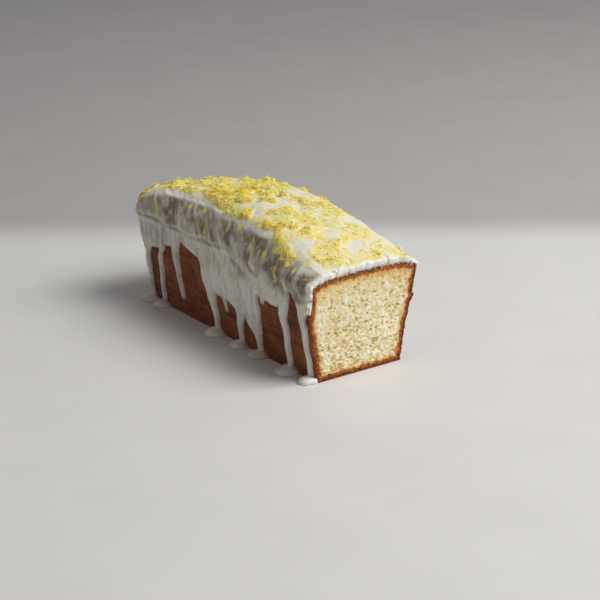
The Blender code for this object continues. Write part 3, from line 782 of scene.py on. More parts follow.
def flank_line(along, column):
    """The height of the flank's top, which is column 1 of its table, or of its foot, which is column 2."""
    marks = MM * np.array(FLANK, float)
    return np.interp(along, marks[:, 0], marks[:, column])


def patch_strength(along, height, patches):
    """The strongest of some soft oval patches at each point of the loaf's side."""
    strongest = np.zeros(along.shape)
    for patch in patches:
        distance = spot_distance(along, height, patch[:4] + (0,))
        strongest = np.maximum(strongest, patch[4] * np.exp(-distance ** 2))
    return strongest


def flank_fields(places, points, steep):
    """On the icing's side: how dull it is, partly from thin icing and partly as painted shade, how far it
    stands out, and how streaked with zest oil.
    """
    along, height = points[..., 0], points[..., 2]
    tops, feet = flank_line(along, 1), flank_line(along, 2)
    sway = 0.0020 * noise(points, 0.011, 81)
    band = smoothstep((tops - height + sway) / 0.0035) * smoothstep((height - feet + sway) / 0.005)
    band = band * smoothstep(steep / 0.5)
    slant = 0.15 + 0.75 * smoothstep((along - 0.050) / 0.060)
    stroke_place = places - slant * (height - RIM_HEIGHT)
    strokes = np.stack([stroke_place + 0.0 * height, 0.32 * height, 0.0 * height], -1)
    bent = 0.0031 * np.stack([noise(points, 0.013, 89), noise(points, 0.009, 90), 0.0 * height], -1)
    broad = fractal(strokes + bent, (0.0085, 0.0050, 1.0), 83, 3)
    folds = fractal(strokes + bent, (0.0045, 0.0032, 1.0), 85, 3, 0.6)
    patches = patch_strength(along, height, THIN_PATCHES)
    white = patch_strength(along, height, WHITE_PATCHES)
    dull = 0.53 + 0.16 * smoothstep((0.120 - along) / 0.030)
    uneven = 0.78 - 0.40 * smoothstep((along - 0.105) / 0.040)
    thin_and_shade = band * np.clip(dull + patches + uneven * broad + 0.66 * folds - white, 0.0, 1.0)
    raised = band * (-0.0007 * broad - 0.0006 * folds)

    far = smoothstep((along - 0.105) / 0.030)
    fold = np.exp(-(line_distance(along, height + 0.7 * sway, FOLD) / 0.0021) ** 2)
    fold = fold * (0.45 + 0.55 * far) * np.clip(0.85 + 0.9 * broad, 0.25, 1.0)
    swag = np.exp(-(line_distance(along, height, SWAG) / 0.0012) ** 2)
    # Painted shade: just under the swag the icing is painted dark, as the swag's shadow.
    under_swag_shadow = np.exp(-(line_distance(along + 0.0026, height + 0.0012, SWAG) / 0.0014) ** 2)
    raised = raised - 0.0004 * fold + 0.0009 * swag - 0.0003 * under_swag_shadow
    # Painted shadow: the fold's crease is painted dark along its line.
    thin_and_shade = np.maximum(thin_and_shade, 0.98 * fold)
    thin_and_shade = np.maximum(thin_and_shade * (1.0 - 0.8 * swag), 0.75 * under_swag_shadow)

    curtain = smoothstep((feet - height + sway) / 0.004)
    runs_down = fractal(np.stack([places + 0.0 * height, 0.09 * height, 0.0 * height], -1), 0.0030, 87, 3)
    haze = 0.07 + 0.22 * smoothstep((along - 0.150) / 0.040) + 0.32 * runs_down + 0.35 * broad
    haze = haze + patch_strength(along, height, DULL_PATCHES) * (1.0 + 1.2 * folds)
    thin_and_shade = np.maximum(thin_and_shade, curtain * np.clip(haze, 0.0, 1.0))
    oily = smoothstep((height - 0.040) / 0.010) * smoothstep((0.090 - height) / 0.012)
    oily = oily * (0.30 + 0.70 * smoothstep((0.125 - along) / 0.030))
    oily = np.maximum(oily, 0.95 * band)
    valley = hump(height, RIM_HEIGHT, 0.006) * smoothstep((0.120 - along) / 0.060)
    valley = valley * smoothstep(steep / 0.3)
    above = height - tops + 0.0022 + 0.6 * sway + 0.0012 * noise(points, 0.0048, 98)
    ledge = np.exp(-(above / np.where(above > 0.0, 0.0034, 0.0018)) ** 2) * smoothstep(steep / 0.3)
    ledge = ledge * smoothstep((along - 0.100) / 0.030) * smoothstep((0.238 - along) / 0.020)
    return thin_and_shade, raised + 0.0016 * valley + 0.0013 * ledge * (1.0 + 0.7 * folds), oily


def painted_lit_rim(points, tops):
    """Painted light: the rim just under the zest on the loaf's far half is painted paler, as if lit from
    above.
    """
    above = points[..., 2] - tops
    rim = np.exp(-((above + 0.0008) / 0.0024) ** 2)
    along = points[..., 0]
    return rim * smoothstep((along - 0.130) / 0.020) * smoothstep((0.228 - along) / 0.016)


def near_cut(places, points, depth):
    """The icing by the cut: lumpy, thick at the back corner, torn at the front edge."""
    ends = np.minimum(places, GIRTH - places)
    over, height = points[..., 1], points[..., 2]
    close = hump(ends, 0.0, 0.0045)
    lumps = 0.00045 * fractal(points, 0.0050, 93, 2) + 0.00042 * noise(points, 0.0017, 95)
    crumbs = 0.5 + 0.9 * noise(points, 0.0016, 96)
    at_front, at_back = over < 0.02, over > 0.05
    back_corner = hump(over, 0.0905, 0.0060) * hump(height, 0.075, 0.008)
    front_corner = hump(height, 0.0725, 0.0060) * at_front
    front_lump = hump(height, FRONT_LUMP_HEIGHT, 0.0036) * hump(places, 0.0, 0.0085, 4) * crumbs
    back_lump = hump(height, BEAD_HEIGHT, 0.0022) * at_back
    tear = hump(height, TEAR_HEIGHT, 0.0018) * at_front
    depth = depth + close * (lumps + 0.0016 * back_lump) + 0.0015 * front_lump
    depth = depth * (1.0 - 0.55 * close * back_corner) * (1.0 - 0.45 * close * front_corner)
    return depth * (1.0 - hump(ends, 0.0, 0.0030) * tear)


def corner_swell(places, points):
    """How far the icing at the far front corner stands out beyond the rest."""
    swell = 0.0
    for middle, half_height, out in CORNER_SWELLS:
        swell = swell + out * hump(points[..., 2], middle, half_height)
    return swell * hump(places, CORNER_PLACE, CORNER_HALF)


def trickled(places, points):
    """Where zest slid down the front of the cake."""
    bend = 0.0012 * noise(points, 0.0035, 99)
    strewn = np.zeros(points.shape[:-1])
    for trickle in TRICKLES:
        distance = spot_distance(points[..., 0] + bend, points[..., 2], trickle[:4] + (0,))
        strewn = np.maximum(strewn, trickle[4] * (1.0 - smoothstep((distance - 0.5) / 0.8)))
    return strewn * (places < SIDE_LENGTH + CORNER_ARC)


def icing_fields(places, points, reaches, heights):
    """The icing's thickness at each point of the skin, and all that its look depends on.

    The places all meet on the dome's spine, so what depends on a place fades to nothing there:
    otherwise the skin is no longer closed, and the loaf's room can't be cut out of it.
    """
    reach = np.concatenate([reaches, np.ones(len(heights))])[:, None]
    domed = len(reaches)
    steep = flank_part(reach) + 0.0 * places
    cover, gold, mound = zest_cover(points)
    tops = flank_line(points[..., 0], 1)
    tops = tops - 0.0060 * smoothstep((points[..., 0] - 0.232) / 0.012)
    tops = tops - 0.0045 * smoothstep((places - 0.5 * GIRTH) / END_LENGTH)
    tongues = 0.0028 * fractal(points, (0.0065, 0.0065, 0.02), 97, 2)
    strewn = smoothstep((points[..., 2] - tops + 0.0006 + tongues) / 0.0030)
    strewn = np.maximum(strewn, 1.0 - smoothstep((reach - 0.62) / 0.10))
    ends = np.minimum(places, GIRTH - places)
    strewn = strewn * smoothstep((ends - 0.0002 + tongues) / 0.0036)
    cover = cover * (0.03 + 0.97 * strewn)
    mound = mound * strewn
    trickles = trickled(places, points) * smoothstep(steep / 0.3)
    gold = gold + (0.75 - gold) * smoothstep((trickles - cover) / 0.3)
    cover = np.maximum(cover, trickles)
    thin_and_shade, raised, oily = flank_fields(places, points, steep)
    thin_and_shade = thin_and_shade * smoothstep((ends - 0.0020 + 0.5 * tongues) / 0.0040)
    # Painted light: the far rim under the zest is kept paler.
    thin_and_shade = thin_and_shade * (1.0 - 0.85 * painted_lit_rim(points, tops))
    # Painted shade: the dull band is painted darker on the front, which faces away from the softbox, than on
    # the back, where it is 45 % lighter.
    thin_and_shade = thin_and_shade * (1.0 - 0.45 * smoothstep((places - 0.5 * GIRTH) / END_LENGTH))
    ripple = fractal(points, (0.015, 0.0075, 0.02), 61, 3)
    pucker = noise(points, 0.0035, 67)
    streak = fractal(points, (0.0030, 0.0030, 0.022), 73, 2)

    shoulder = smoothstep((reach[:domed] - SHOULDER_FROM) / (SHOULDER_TO - SHOULDER_FROM))
    on_dome = TOP_ICING + (SHOULDER_ICING - TOP_ICING) * shoulder + 0.0 * places
    waves = np.sin(2.0 * math.pi * points[:domed, :, 0] / WAVE_ALONG)
    waves = waves * np.cos(2.0 * math.pi * points[:domed, :, 1] / WAVE_OVER)
    on_dome += WAVE_HEIGHT * waves * (1.0 - shoulder)
    rough = noise(points, 0.0022, 69)
    relief = (1.0 - steep) * (0.00060 * ripple + 0.00025 * pucker)
    relief += mound * (0.80 + 0.20 * rough) + 0.00025 * cover * rough
    on_dome += relief[:domed]

    wall_height = np.array(heights)[:, None]
    below_rim = smoothstep((RIM_HEIGHT - wall_height) / CURTAIN_DEPTH)
    full = RIM_ICING + (CURTAIN_ICING - RIM_ICING) * below_rim
    bead = BEAD_RADIUS - np.hypot(places - GIRTH + BEAD_IN, wall_height - BEAD_HEIGHT)
    torn_off = 0.0034 * hump(places, 0.0, 0.0046) * hump(wall_height, 0.0520, 0.0060, 4)
    cover_edge = np.maximum(icing_cover(places, wall_height) - torn_off, bead)
    edge = np.tanh(cover_edge / EDGE_ROUND)
    hanging = smoothstep((hem_height(places) - wall_height) / BULGE_FROM)
    on_wall = full * edge + RUN_BULGE * hanging * smoothstep(cover_edge / BULGE_ROUND)
    on_wall += np.clip(edge, 0.0, 1.0) * (0.00030 * streak + 0.00020 * ripple)[domed:]
    on_wall = np.maximum(on_wall, -BARE_DEPTH)
    on_wall = smooth_max(on_wall, pool_reach(places, wall_height), POOL_BLEND)
    depth = np.concatenate([on_dome, on_wall])
    iced = np.concatenate([np.ones(on_dome.shape), smoothstep(cover_edge / 0.002)])
    raised = raised + corner_swell(places, points) * smoothstep(steep / 0.3)
    depth = depth + iced * raised
    depth = np.where(depth > 0.0, near_cut(places, points, depth), depth)

    # The icing ends at the cut in a rounded, uneven lip.
    ragged = 0.00045 * noise(points, 0.0028, 79) + 0.00035 * noise(points, 0.0012, 78)
    inward = np.clip((ends - CUT_LIP_START - 0.0003 - ragged) / CUT_LIP_LENGTH, 0.0, 1.0)
    lip = np.sqrt(np.maximum(1.0 - (1.0 - inward) ** 2, 0.0))
    depth = -BARE_DEPTH + (depth + BARE_DEPTH) * lip

    thin_edge = np.concatenate([np.zeros(on_dome.shape), 1.0 - smoothstep(cover_edge / 0.0022)])
    on_pool = np.concatenate([np.zeros(on_dome.shape), 0.0 * on_wall + (wall_height < POOL_HEIGHT)])
    thin_and_shade = np.maximum(thin_and_shade, 0.45 * thin_edge * (1.0 - on_pool))
    above_hem = smoothstep((points[..., 2] - hem_height(places) - 0.002) / 0.004)
    fields = {"thin_and_shade": thin_and_shade, "zest": cover, "gold": gold, "oily": oily * above_hem, "mound": mound}
    # Whiter icing by the cut: painted light on the lip's front, which gets less light than the top, and a
    # white lump of icing low at the front edge.
    white_lump = hump(points[..., 2], FRONT_LUMP_HEIGHT, 0.0046) * (places < 0.02)
    fields["lip_light_and_white_lump"] = np.exp(-(ends / (0.0036 + 0.0045 * white_lump)) ** 2)
    return depth, {key: np.clip(field, 0.0, 1.0) for key, field in fields.items()}


def icing_skin():
    """The outside of the iced cake, row by row, with what its material and the zest need to know."""
    places = stretches(
        (CUT_LIP_START, FINE_LENGTH, FINE_STEP),
        *round_girth(FINE_LENGTH, GIRTH - FINE_LENGTH, ICING_STEP, ICING_STEP),
        (GIRTH - FINE_LENGTH, GIRTH - CUT_LIP_START, FINE_STEP),
    )
    reaches = dome_rows(ICING_DOME_ROWS, 1.8)
    wall_rows = round((RIM_HEIGHT - FOOT_ROWS_TOP) / ICING_WALL_STEP)
    heights = list(np.linspace(RIM_HEIGHT, FOOT_ROWS_TOP, wall_rows, endpoint=False))
    heights += list(np.linspace(FOOT_ROWS_TOP, POOL_HEIGHT, 3))
    heights += list(POOL_HEIGHT * (1.0 - np.linspace(0.0, 1.0, FOOT_ROWS + 1)[1:] ** 2))
    points, ways = skin(places, reaches, heights)
    depth, fields = icing_fields(places, points, reaches, heights)
    above_hem = points[..., 2] - hem_height(places)
    return {"bare": points, "points": points + depth[..., None] * ways, "ways": ways,
            "depth": depth, "above_hem": above_hem, "fields": fields}


def loaf_room():
    """A coarse body of the loaf, run on past the cut and the underside, that hollows out the icing."""
    places = stretches(*round_girth(-OVERCUT, GIRTH + OVERCUT, 0.008, 0.002))
    heights = (RIM_HEIGHT, 0.069, 0.064, 0.058, 0.051, 0.043, 0.035, 0.026, 0.017, 0.008, 0.0, -OVERCUT)
    points, ways = skin(places, dome_rows(14, 2), heights)
    return closed_skin("loaf_room", placed(points - SINK * ways))


def icing_piece(icing, look):
    """The icing as one closed body: everything inside the iced outline that the loaf does not fill."""
    outside = placed(icing["points"])
    body = closed_skin("cake_icing", outside)
    room = loaf_room()
    cut = body.modifiers.new("loaf", "BOOLEAN")
    cut.operation = "DIFFERENCE"
    cut.object = room
    cut.solver = "MANIFOLD"
    bpy.context.view_layer.update()
    ready = body.evaluated_get(bpy.context.evaluated_depsgraph_get())
    mesh = bpy.data.meshes.new_from_object(ready)
    remove_piece(body)
    remove_piece(room)
    drop_fins(mesh)
    mesh.name = "cake_icing"
    mesh.materials.clear()
    piece = new_piece("cake_icing", mesh, look)

    flat = outside.reshape(-1, 3)
    tree = kdtree.KDTree(len(flat))
    for index, point in enumerate(flat):
        tree.insert(point, index)
    tree.balance()
    nearest = [tree.find(point)[1] for point in mesh_points(mesh)]
    for key in ("thin_and_shade", "zest", "gold", "oily", "lip_light_and_white_lump"):
        add_values(mesh, key, icing["fields"][key].ravel()[nearest])
    mesh.shade_smooth()
    return piece


# ---------------------------------------------------------------- lemon zest: shreds and flecks
SHRED_COUNT = 7800
FLECK_COUNT = 20000
# Shreds and flecks: shortest and longest, narrowest and widest, and thinnest and thickest.
SHRED_LENGTH, SHRED_WIDTH, SHRED_THICKNESS = (0.0020, 0.0054), (0.00040, 0.00085), (0.00015, 0.00028)
FLECK_LENGTH, FLECK_WIDTH = (0.0010, 0.0026), (0.00045, 0.0011)
# The share of the shreds that stand up where zest lies thick, and how steeply.
STANDING_SHARE, STANDING_TILT = 0.12, 0.45
# The power that draws zest to its heaps, what the flank and the curtain get, and what the flank loses.
SHRED_SHARES = (1.7, 0.002, 0.0003, 0.55)
FLECK_SHARES = (1.6, 0.008, 0.0015, 0.0)
NEAR_SPARSENESS = 0.50


def strewing(icing, shares):
    """How likely zest is to lie on each cell of the iced surface, with the cells' corners."""
    power, flank_share, curtain_share, flank_loss = shares
    points = icing["points"]
    corners = np.stack(grid_corners(points), 2)
    normals = np.cross(corners[:, :, 3] - corners[:, :, 1], corners[:, :, 2] - corners[:, :, 0])
    area = np.linalg.norm(normals, axis=-1)
    normals = normals / np.maximum(area, 1e-15)[..., None]
    ways = icing["ways"][:-1, :-1]
    normals = normals * np.sign((normals * ways).sum(-1, keepdims=True) + 1e-9)
    height = icing["bare"][:-1, :-1, 2]
    level = np.clip(ways[..., 2], 0.0, 1.0)
    top = smoothstep((level - 0.15) / 0.2)
    flank = (1.0 - top) * smoothstep((height - RIM_HEIGHT + 0.002) / 0.004)
    curtain = smoothstep((height - 0.044) / 0.016) * (height < RIM_HEIGHT)
    along = icing["bare"][:-1, :-1, 0]
    weight = icing["fields"]["zest"][:-1, :-1] ** power
    weight = weight * (NEAR_SPARSENESS + (1.0 - NEAR_SPARSENESS) * smoothstep((along - 0.060) / 0.060))
    weight = weight * (1.0 - flank_loss * flank)
    weight = weight + flank * flank_share + curtain * curtain_share
    weight = weight * smoothstep((icing["above_hem"][:-1, :-1] - 0.002) / 0.002)
    weight = weight * (icing["depth"][:-1, :-1] > 0.0010)
    weight = weight * (corners[..., 0].mean(2) > 0.0004)
    return corners, normals, weight * area


def strew(icing, count, seed, shares):
    """Picks points of the iced surface for zest to lie on, each with its normal and its values."""
    chance = np.random.default_rng(seed)
    corners, normals, weight = strewing(icing, shares)
    share = weight.ravel() / weight.sum()
    cells = chance.choice(len(share), size=count, p=share)
    row, column = np.unravel_index(cells, weight.shape)
    right, down = chance.random((2, count, 1))
    four = corners[row, column]
    upper = four[:, 0] * (1.0 - right) + four[:, 3] * right
    lower = four[:, 1] * (1.0 - right) + four[:, 2] * right
    at = upper * (1.0 - down) + lower * down
    cover, gold, mound = (icing["fields"][key][row, column] for key in ("zest", "gold", "mound"))
    steepness = 1.0 - icing["ways"][row, column, 2]
    return chance, at, normals[row, column], steepness, cover, gold, mound


def lying_frames(chance, normals, tilt):
    """For each normal, a direction that something lying there points in, its side and its up."""
    down = np.array([0.0, 0.0, -1.0])
    flow = down - normals * (normals @ down)[:, None]
    steep = np.linalg.norm(flow, axis=1)
    flow[steep < 1e-3] = (1.0, 0.0, 0.0)
    flow /= np.linalg.norm(flow, axis=1)[:, None]
    beside = np.cross(normals, flow)
    spread = np.where(steep > 0.75, 0.45, math.pi)
    turn = chance.uniform(-1.0, 1.0, len(normals)) * spread
    way = flow * np.cos(turn)[:, None] + beside * np.sin(turn)[:, None]
    lift = chance.normal(0.0, 1.0, len(normals)) * tilt
    pointing = way * np.cos(lift)[:, None] + normals * np.sin(lift)[:, None]
    side = np.cross(normals, way)
    up = np.cross(pointing, side)
    roll = chance.uniform(-1.0, 1.0, len(normals)) * (0.15 + 1.6 * tilt)
    rolled = side * np.cos(roll)[:, None] + up * np.sin(roll)[:, None]
    return pointing, rolled, np.cross(pointing, rolled)


def many_bodies(name, rings, ring_faces, values, look):
    """One mesh of many small closed bodies that all have the same faces."""
    count, corner_count, _ = rings.shape
    faces = np.array(ring_faces)[None] + (np.arange(count) * corner_count)[:, None, None]
    mesh = bpy.data.meshes.new(name)
    # The corners run the other way round, as the CAD's frame mirrors the loaf's own.
    outward_faces = faces.reshape(-1, 3)[:, ::-1].tolist()
    mesh.from_pydata(placed(rings.reshape(-1, 3)).tolist(), [], outward_faces)
    for key, value in values.items():
        add_values(mesh, key, np.repeat(value, corner_count))
    mesh.update()
    return new_piece(name, mesh, look)


def soaked(steepness):
    """Zest on the steep front has soaked up icing and lost its brightness."""
    return smoothstep((steepness - 0.30) / 0.35)


def zest_shreds(icing, look):
    """Curled shreds, three-sided in section, heaped where the zest is strewn densely."""
    chance, at, normals, steepness, cover, gold, mound = strew(icing, SHRED_COUNT, 5, SHRED_SHARES)
    count = len(at)
    heaped = np.clip(0.4 * cover + 0.6 * mound / 0.0015, 0.0, 1.2)
    standing = STANDING_TILT * (chance.random(count) < STANDING_SHARE) * cover
    pointing, side, up = lying_frames(chance, normals, 0.04 + 0.16 * heaped + standing)
    length = chance.uniform(*SHRED_LENGTH, count)
    width = chance.uniform(*SHRED_WIDTH, count)
    thick = chance.uniform(*SHRED_THICKNESS, count)
    bend = chance.normal(0.0, 1.3, count)
    bend = np.where(np.abs(bend) < 0.05, 0.05, bend)
    hook = chance.uniform(0.0, 2.0 * math.pi, count)
    towards = side * np.cos(hook)[:, None] + up * (np.sin(hook) * (0.3 + 0.7 * heaped))[:, None]
    lift = -0.00004 + 0.0012 * standing + (0.0006 * heaped + 0.35 * mound) * chance.random(count) ** 1.8
    middle = at + normals * lift[:, None]
    rings = []
    for step in range(4):
        turn = bend * (step / 3.0 - 0.5)
        radius = length / bend
        centre = middle + pointing * (radius * np.sin(turn))[:, None]
        centre = centre + towards * (radius * (1.0 - np.cos(turn)))[:, None]
        slim = 0.45 if step in (0, 3) else 1.0
        half = (0.5 * slim * width)[:, None]
        rise = (slim * thick)[:, None]
        rings += [centre - side * half, centre + side * half, centre + up * rise]
    faces = [(0, 2, 1), (9, 10, 11)]
    for step in range(3):
        for edge in range(3):
            one, two = 3 * step + edge, 3 * step + (edge + 1) % 3
            faces += [(one, two, two + 3), (one, two + 3, one + 3)]
    values = {"tint": chance.random(count), "gold": gold, "soaked": soaked(steepness)}
    return many_bodies("cake_zest_shreds", np.stack(rings, 1), faces, values, look)


def zest_flecks(icing, look):
    """Fine gratings: small splinters, pressed into the icing and filling the heaps."""
    chance, at, normals, steepness, cover, gold, mound = strew(icing, FLECK_COUNT, 8, FLECK_SHARES)
    count = len(at)
    pointing, side, up = lying_frames(chance, normals, 0.04 + 0.14 * cover)
    length = chance.uniform(*FLECK_LENGTH, count)[:, None]
    width = chance.uniform(*FLECK_WIDTH, count)[:, None]
    lift = (0.0003 * cover + 0.3 * mound) * chance.random(count) ** 1.8
    middle = at + normals * lift[:, None]
    points = [middle - pointing * 0.5 * length, middle + pointing * 0.5 * length]
    for edge in range(3):
        turn = 2.0 * math.pi * edge / 3.0
        points.append(middle + 0.5 * width * (side * math.cos(turn) + 0.3 * up * math.sin(turn)))
    faces = []
    for edge in range(3):
        one, two = 2 + edge, 2 + (edge + 1) % 3
        faces += [(0, two, one), (1, one, two)]
    values = {"tint": chance.random(count), "gold": gold, "soaked": soaked(steepness)}
    return many_bodies("cake_zest_flecks", np.stack(points, 1), faces, values, look)


# ---------------------------------------------------------------- materials
class Nodes:
    """Short ways to add nodes to one material."""

    def __init__(self, name):
        self.material = bpy.data.materials.new(name)
        self.material.use_nodes = True
        self.tree = self.material.node_tree
        self.shader = self.tree.nodes["Principled BSDF"]
        self.tree.nodes.new("ShaderNodeTexCoord").name = "place"

    def link(self, source, target):
        self.tree.links.new(source, target)

    def where(self, stretch=(1.0, 1.0, 1.0)):
        mapping = self.tree.nodes.new("ShaderNodeMapping")
        mapping.inputs["Scale"].default_value = stretch
        self.link(self.tree.nodes["place"].outputs["Object"], mapping.inputs["Vector"])
        return mapping.outputs["Vector"]

    def noise(self, scale, detail=3.0, roughness=0.5, stretch=(1.0, 1.0, 1.0), distortion=0.0):
        node = self.tree.nodes.new("ShaderNodeTexNoise")
        node.inputs["Scale"].default_value = scale
        node.inputs["Detail"].default_value = detail
        node.inputs["Roughness"].default_value = roughness
        node.inputs["Distortion"].default_value = distortion
        self.link(self.where(stretch), node.inputs["Vector"])
        return node.outputs["Fac"]

    def value(self, name):
        node = self.tree.nodes.new("ShaderNodeAttribute")
        node.attribute_name = name
        return node.outputs["Fac"]

    def ramp(self, source, *stops):
        node = self.tree.nodes.new("ShaderNodeValToRGB")
        marks = node.color_ramp.elements
        while len(marks) < len(stops):
            marks.new(0.5)
        for mark, (position, color) in zip(marks, stops):
            mark.position = position
            mark.color = (*color, 1.0) if len(color) == 3 else (*color * 3, 1.0)
        self.link(source, node.inputs["Fac"])
        return node.outputs["Color"]

    def math(self, operation, first, second):
        node = self.tree.nodes.new("ShaderNodeMath")
        node.operation = operation
        for socket, given in zip(node.inputs, (first, second)):
            if isinstance(given, (int, float)):
                socket.default_value = given
            else:
                self.link(given, socket)
        return node.outputs["Value"]

    def times(self, first, second):
        return self.math("MULTIPLY", first, second)

    def wobble(self, source, amount):
        """A noise made to swing either way about zero."""
        return self.times(self.math("SUBTRACT", source, 0.5), amount)

    def spread(self, source, low, high, to_low=0.0, to_high=1.0):
        node = self.tree.nodes.new("ShaderNodeMapRange")
        node.interpolation_type = "SMOOTHSTEP"
        for name, number in (("From Min", low), ("From Max", high), ("To Min", to_low), ("To Max", to_high)):
            node.inputs[name].default_value = number
        self.link(source, node.inputs["Value"])
        return node.outputs["Result"]

    def mix(self, share, first, second, way="MIX"):
        node = self.tree.nodes.new("ShaderNodeMix")
        node.data_type = "RGBA"
        node.blend_type = way
        node.clamp_factor = True
        sockets = (node.inputs[0], node.inputs[6], node.inputs[7])
        for socket, given in zip(sockets, (share, first, second)):
            if isinstance(given, (int, float)):
                socket.default_value = given
            elif isinstance(given, tuple):
                socket.default_value = (*given, 1.0)
            else:
                self.link(given, socket)
        return node.outputs[2]

    def bump(self, height, distance, strength=1.0):
        node = self.tree.nodes.new("ShaderNodeBump")
        node.inputs["Strength"].default_value = strength
        node.inputs["Distance"].default_value = distance
        self.link(height, node.inputs["Height"])
        earlier = self.shader.inputs["Normal"]
        if earlier.links:
            self.link(earlier.links[0].from_socket, node.inputs["Normal"])
        self.link(node.outputs["Normal"], earlier)

    def finish(self, color, roughness=None, **settings):
        self.link(color, self.shader.inputs["Base Color"])
        if roughness is not None:
            self.link(roughness, self.shader.inputs["Roughness"])
        for name, number in settings.items():
            self.shader.inputs[name.replace("_", " ")].default_value = number
        return self.material


def soften(nodes, weight, radius, scale):
    """Light that enters the surface and comes out a little way off."""
    nodes.shader.inputs["Subsurface Weight"].default_value = weight
    nodes.shader.inputs["Subsurface Radius"].default_value = radius
    nodes.shader.inputs["Subsurface Scale"].default_value = scale


def crust_look():
    """The side crust: orange brown, mottled, with dark creases that slant along the loaf."""
    nodes = Nodes("baked crust")
    broad = nodes.noise(55.0, 4.0, 0.65)
    fine = nodes.noise(900.0, 4.0, 0.7)
    color = nodes.ramp(broad, (0.30, (0.095, 0.026, 0.009)), (0.50, (0.205, 0.060, 0.019)),
                       (0.72, (0.345, 0.119, 0.037)))
    color = nodes.mix(nodes.spread(fine, 0.50, 0.72), color, (0.36, 0.125, 0.045))
    color = nodes.mix(nodes.spread(fine, 0.46, 0.30), color, (0.060, 0.015, 0.007))
    slanted = nodes.noise(48.0, 4.0, 0.65, stretch=(0.35, 0.35, 5.0), distortion=0.5)
    color = nodes.mix(nodes.spread(slanted, 0.52, 0.64, 0.0, 0.75), color, (0.060, 0.016, 0.008))
    upright = nodes.noise(150.0, 3.0, 0.6, stretch=(1.0, 1.0, 0.25))
    color = nodes.mix(nodes.spread(upright, 0.52, 0.68, 0.0, 0.55), color, (0.34, 0.115, 0.040))
    nodes.bump(nodes.noise(1500.0, 3.0, 0.6), 0.00012, 0.8)
    nodes.bump(nodes.noise(420.0, 3.0, 0.6), 0.00028, 0.7)
    return nodes.finish(color, nodes.spread(fine, 0.3, 0.7, 0.80, 0.60), Specular_IOR_Level=0.22)


def crumb_look():
    """The cut face: pale crumb, with painted light on its lumps and painted golden shade in its hollows and
    pores, with a ragged brown band round its edge.
    """
    nodes = Nodes("cut crumb and crust")
    distance = nodes.value("edge_distance")
    pore_shade = nodes.value("pore_shade")
    relief_light_and_shade = nodes.value("relief_light_and_shade")
    broad = nodes.noise(60.0, 3.0, 0.6)
    fine = nodes.noise(620.0, 4.0, 0.65)
    color = nodes.ramp(broad, (0.35, (0.86, 0.75, 0.43)), (0.66, (0.92, 0.84, 0.56)))
    # Painted light on the relief's lumps and painted golden shade in its hollows.
    color = nodes.mix(nodes.spread(relief_light_and_shade, 0.48, 0.24), color, (0.95, 0.91, 0.71))
    color = nodes.mix(nodes.spread(relief_light_and_shade, 0.54, 0.78, 0.0, 0.90), color, (0.64, 0.45, 0.15))
    lumps = nodes.noise(340.0, 2.0, 0.6, stretch=(1.0, 0.9, 1.1))
    color = nodes.mix(nodes.spread(lumps, 0.48, 0.34, 0.0, 0.45), color, (0.60, 0.44, 0.16))
    color = nodes.mix(nodes.spread(lumps, 0.51, 0.62, 0.0, 0.65), color, (0.97, 0.94, 0.77))
    color = nodes.mix(nodes.spread(fine, 0.50, 0.36, 0.0, 0.25), color, (0.64, 0.48, 0.20))
    # Painted shade in the pores.
    color = nodes.mix(nodes.times(pore_shade, 0.85), color, (0.52, 0.33, 0.09))
    wander = nodes.noise(230.0, 4.0, 0.65)
    edge = nodes.math("ADD", distance, nodes.wobble(wander, 0.0060))
    under_top = nodes.value("below_top")
    toasted = nodes.spread(under_top, 0.0240, 0.0050, 0.0, 0.80)
    toasted = nodes.times(toasted, nodes.spread(broad, 0.30, 0.60, 0.4, 1.0))
    color = nodes.mix(toasted, color, (0.78, 0.54, 0.20))
    glow = nodes.spread(edge, CRUST_THICKNESS * 1.9, CRUST_THICKNESS * 0.9, 0.0, 0.80)
    color = nodes.mix(glow, color, (0.70, 0.38, 0.09))
    speck = nodes.noise(600.0, 4.0, 0.75)
    brown = nodes.mix(nodes.spread(speck, 0.42, 0.62), (0.28, 0.076, 0.014), (0.55, 0.205, 0.040))
    dark = nodes.mix(nodes.spread(speck, 0.44, 0.64), (0.11, 0.026, 0.009), (0.30, 0.088, 0.022))
    color = nodes.mix(nodes.spread(edge, CRUST_THICKNESS * 1.12, CRUST_THICKNESS * 0.92), color, brown)
    color = nodes.mix(nodes.spread(edge, CRUST_THICKNESS * 0.70, CRUST_THICKNESS * 0.35), color, dark)
    ragged = nodes.wobble(speck, 0.0170)
    smeared = nodes.math("ADD", under_top, ragged)
    color = nodes.mix(nodes.spread(smeared, 0.0009, 0.0002), color, (0.86, 0.84, 0.76))
    nodes.bump(nodes.noise(1100.0, 3.0, 0.6), 0.00018, 0.6)
    soften(nodes, 0.25, (1.0, 0.7, 0.35), 0.0014)
    return nodes.finish(color, Roughness=0.85, Specular_IOR_Level=0.2)


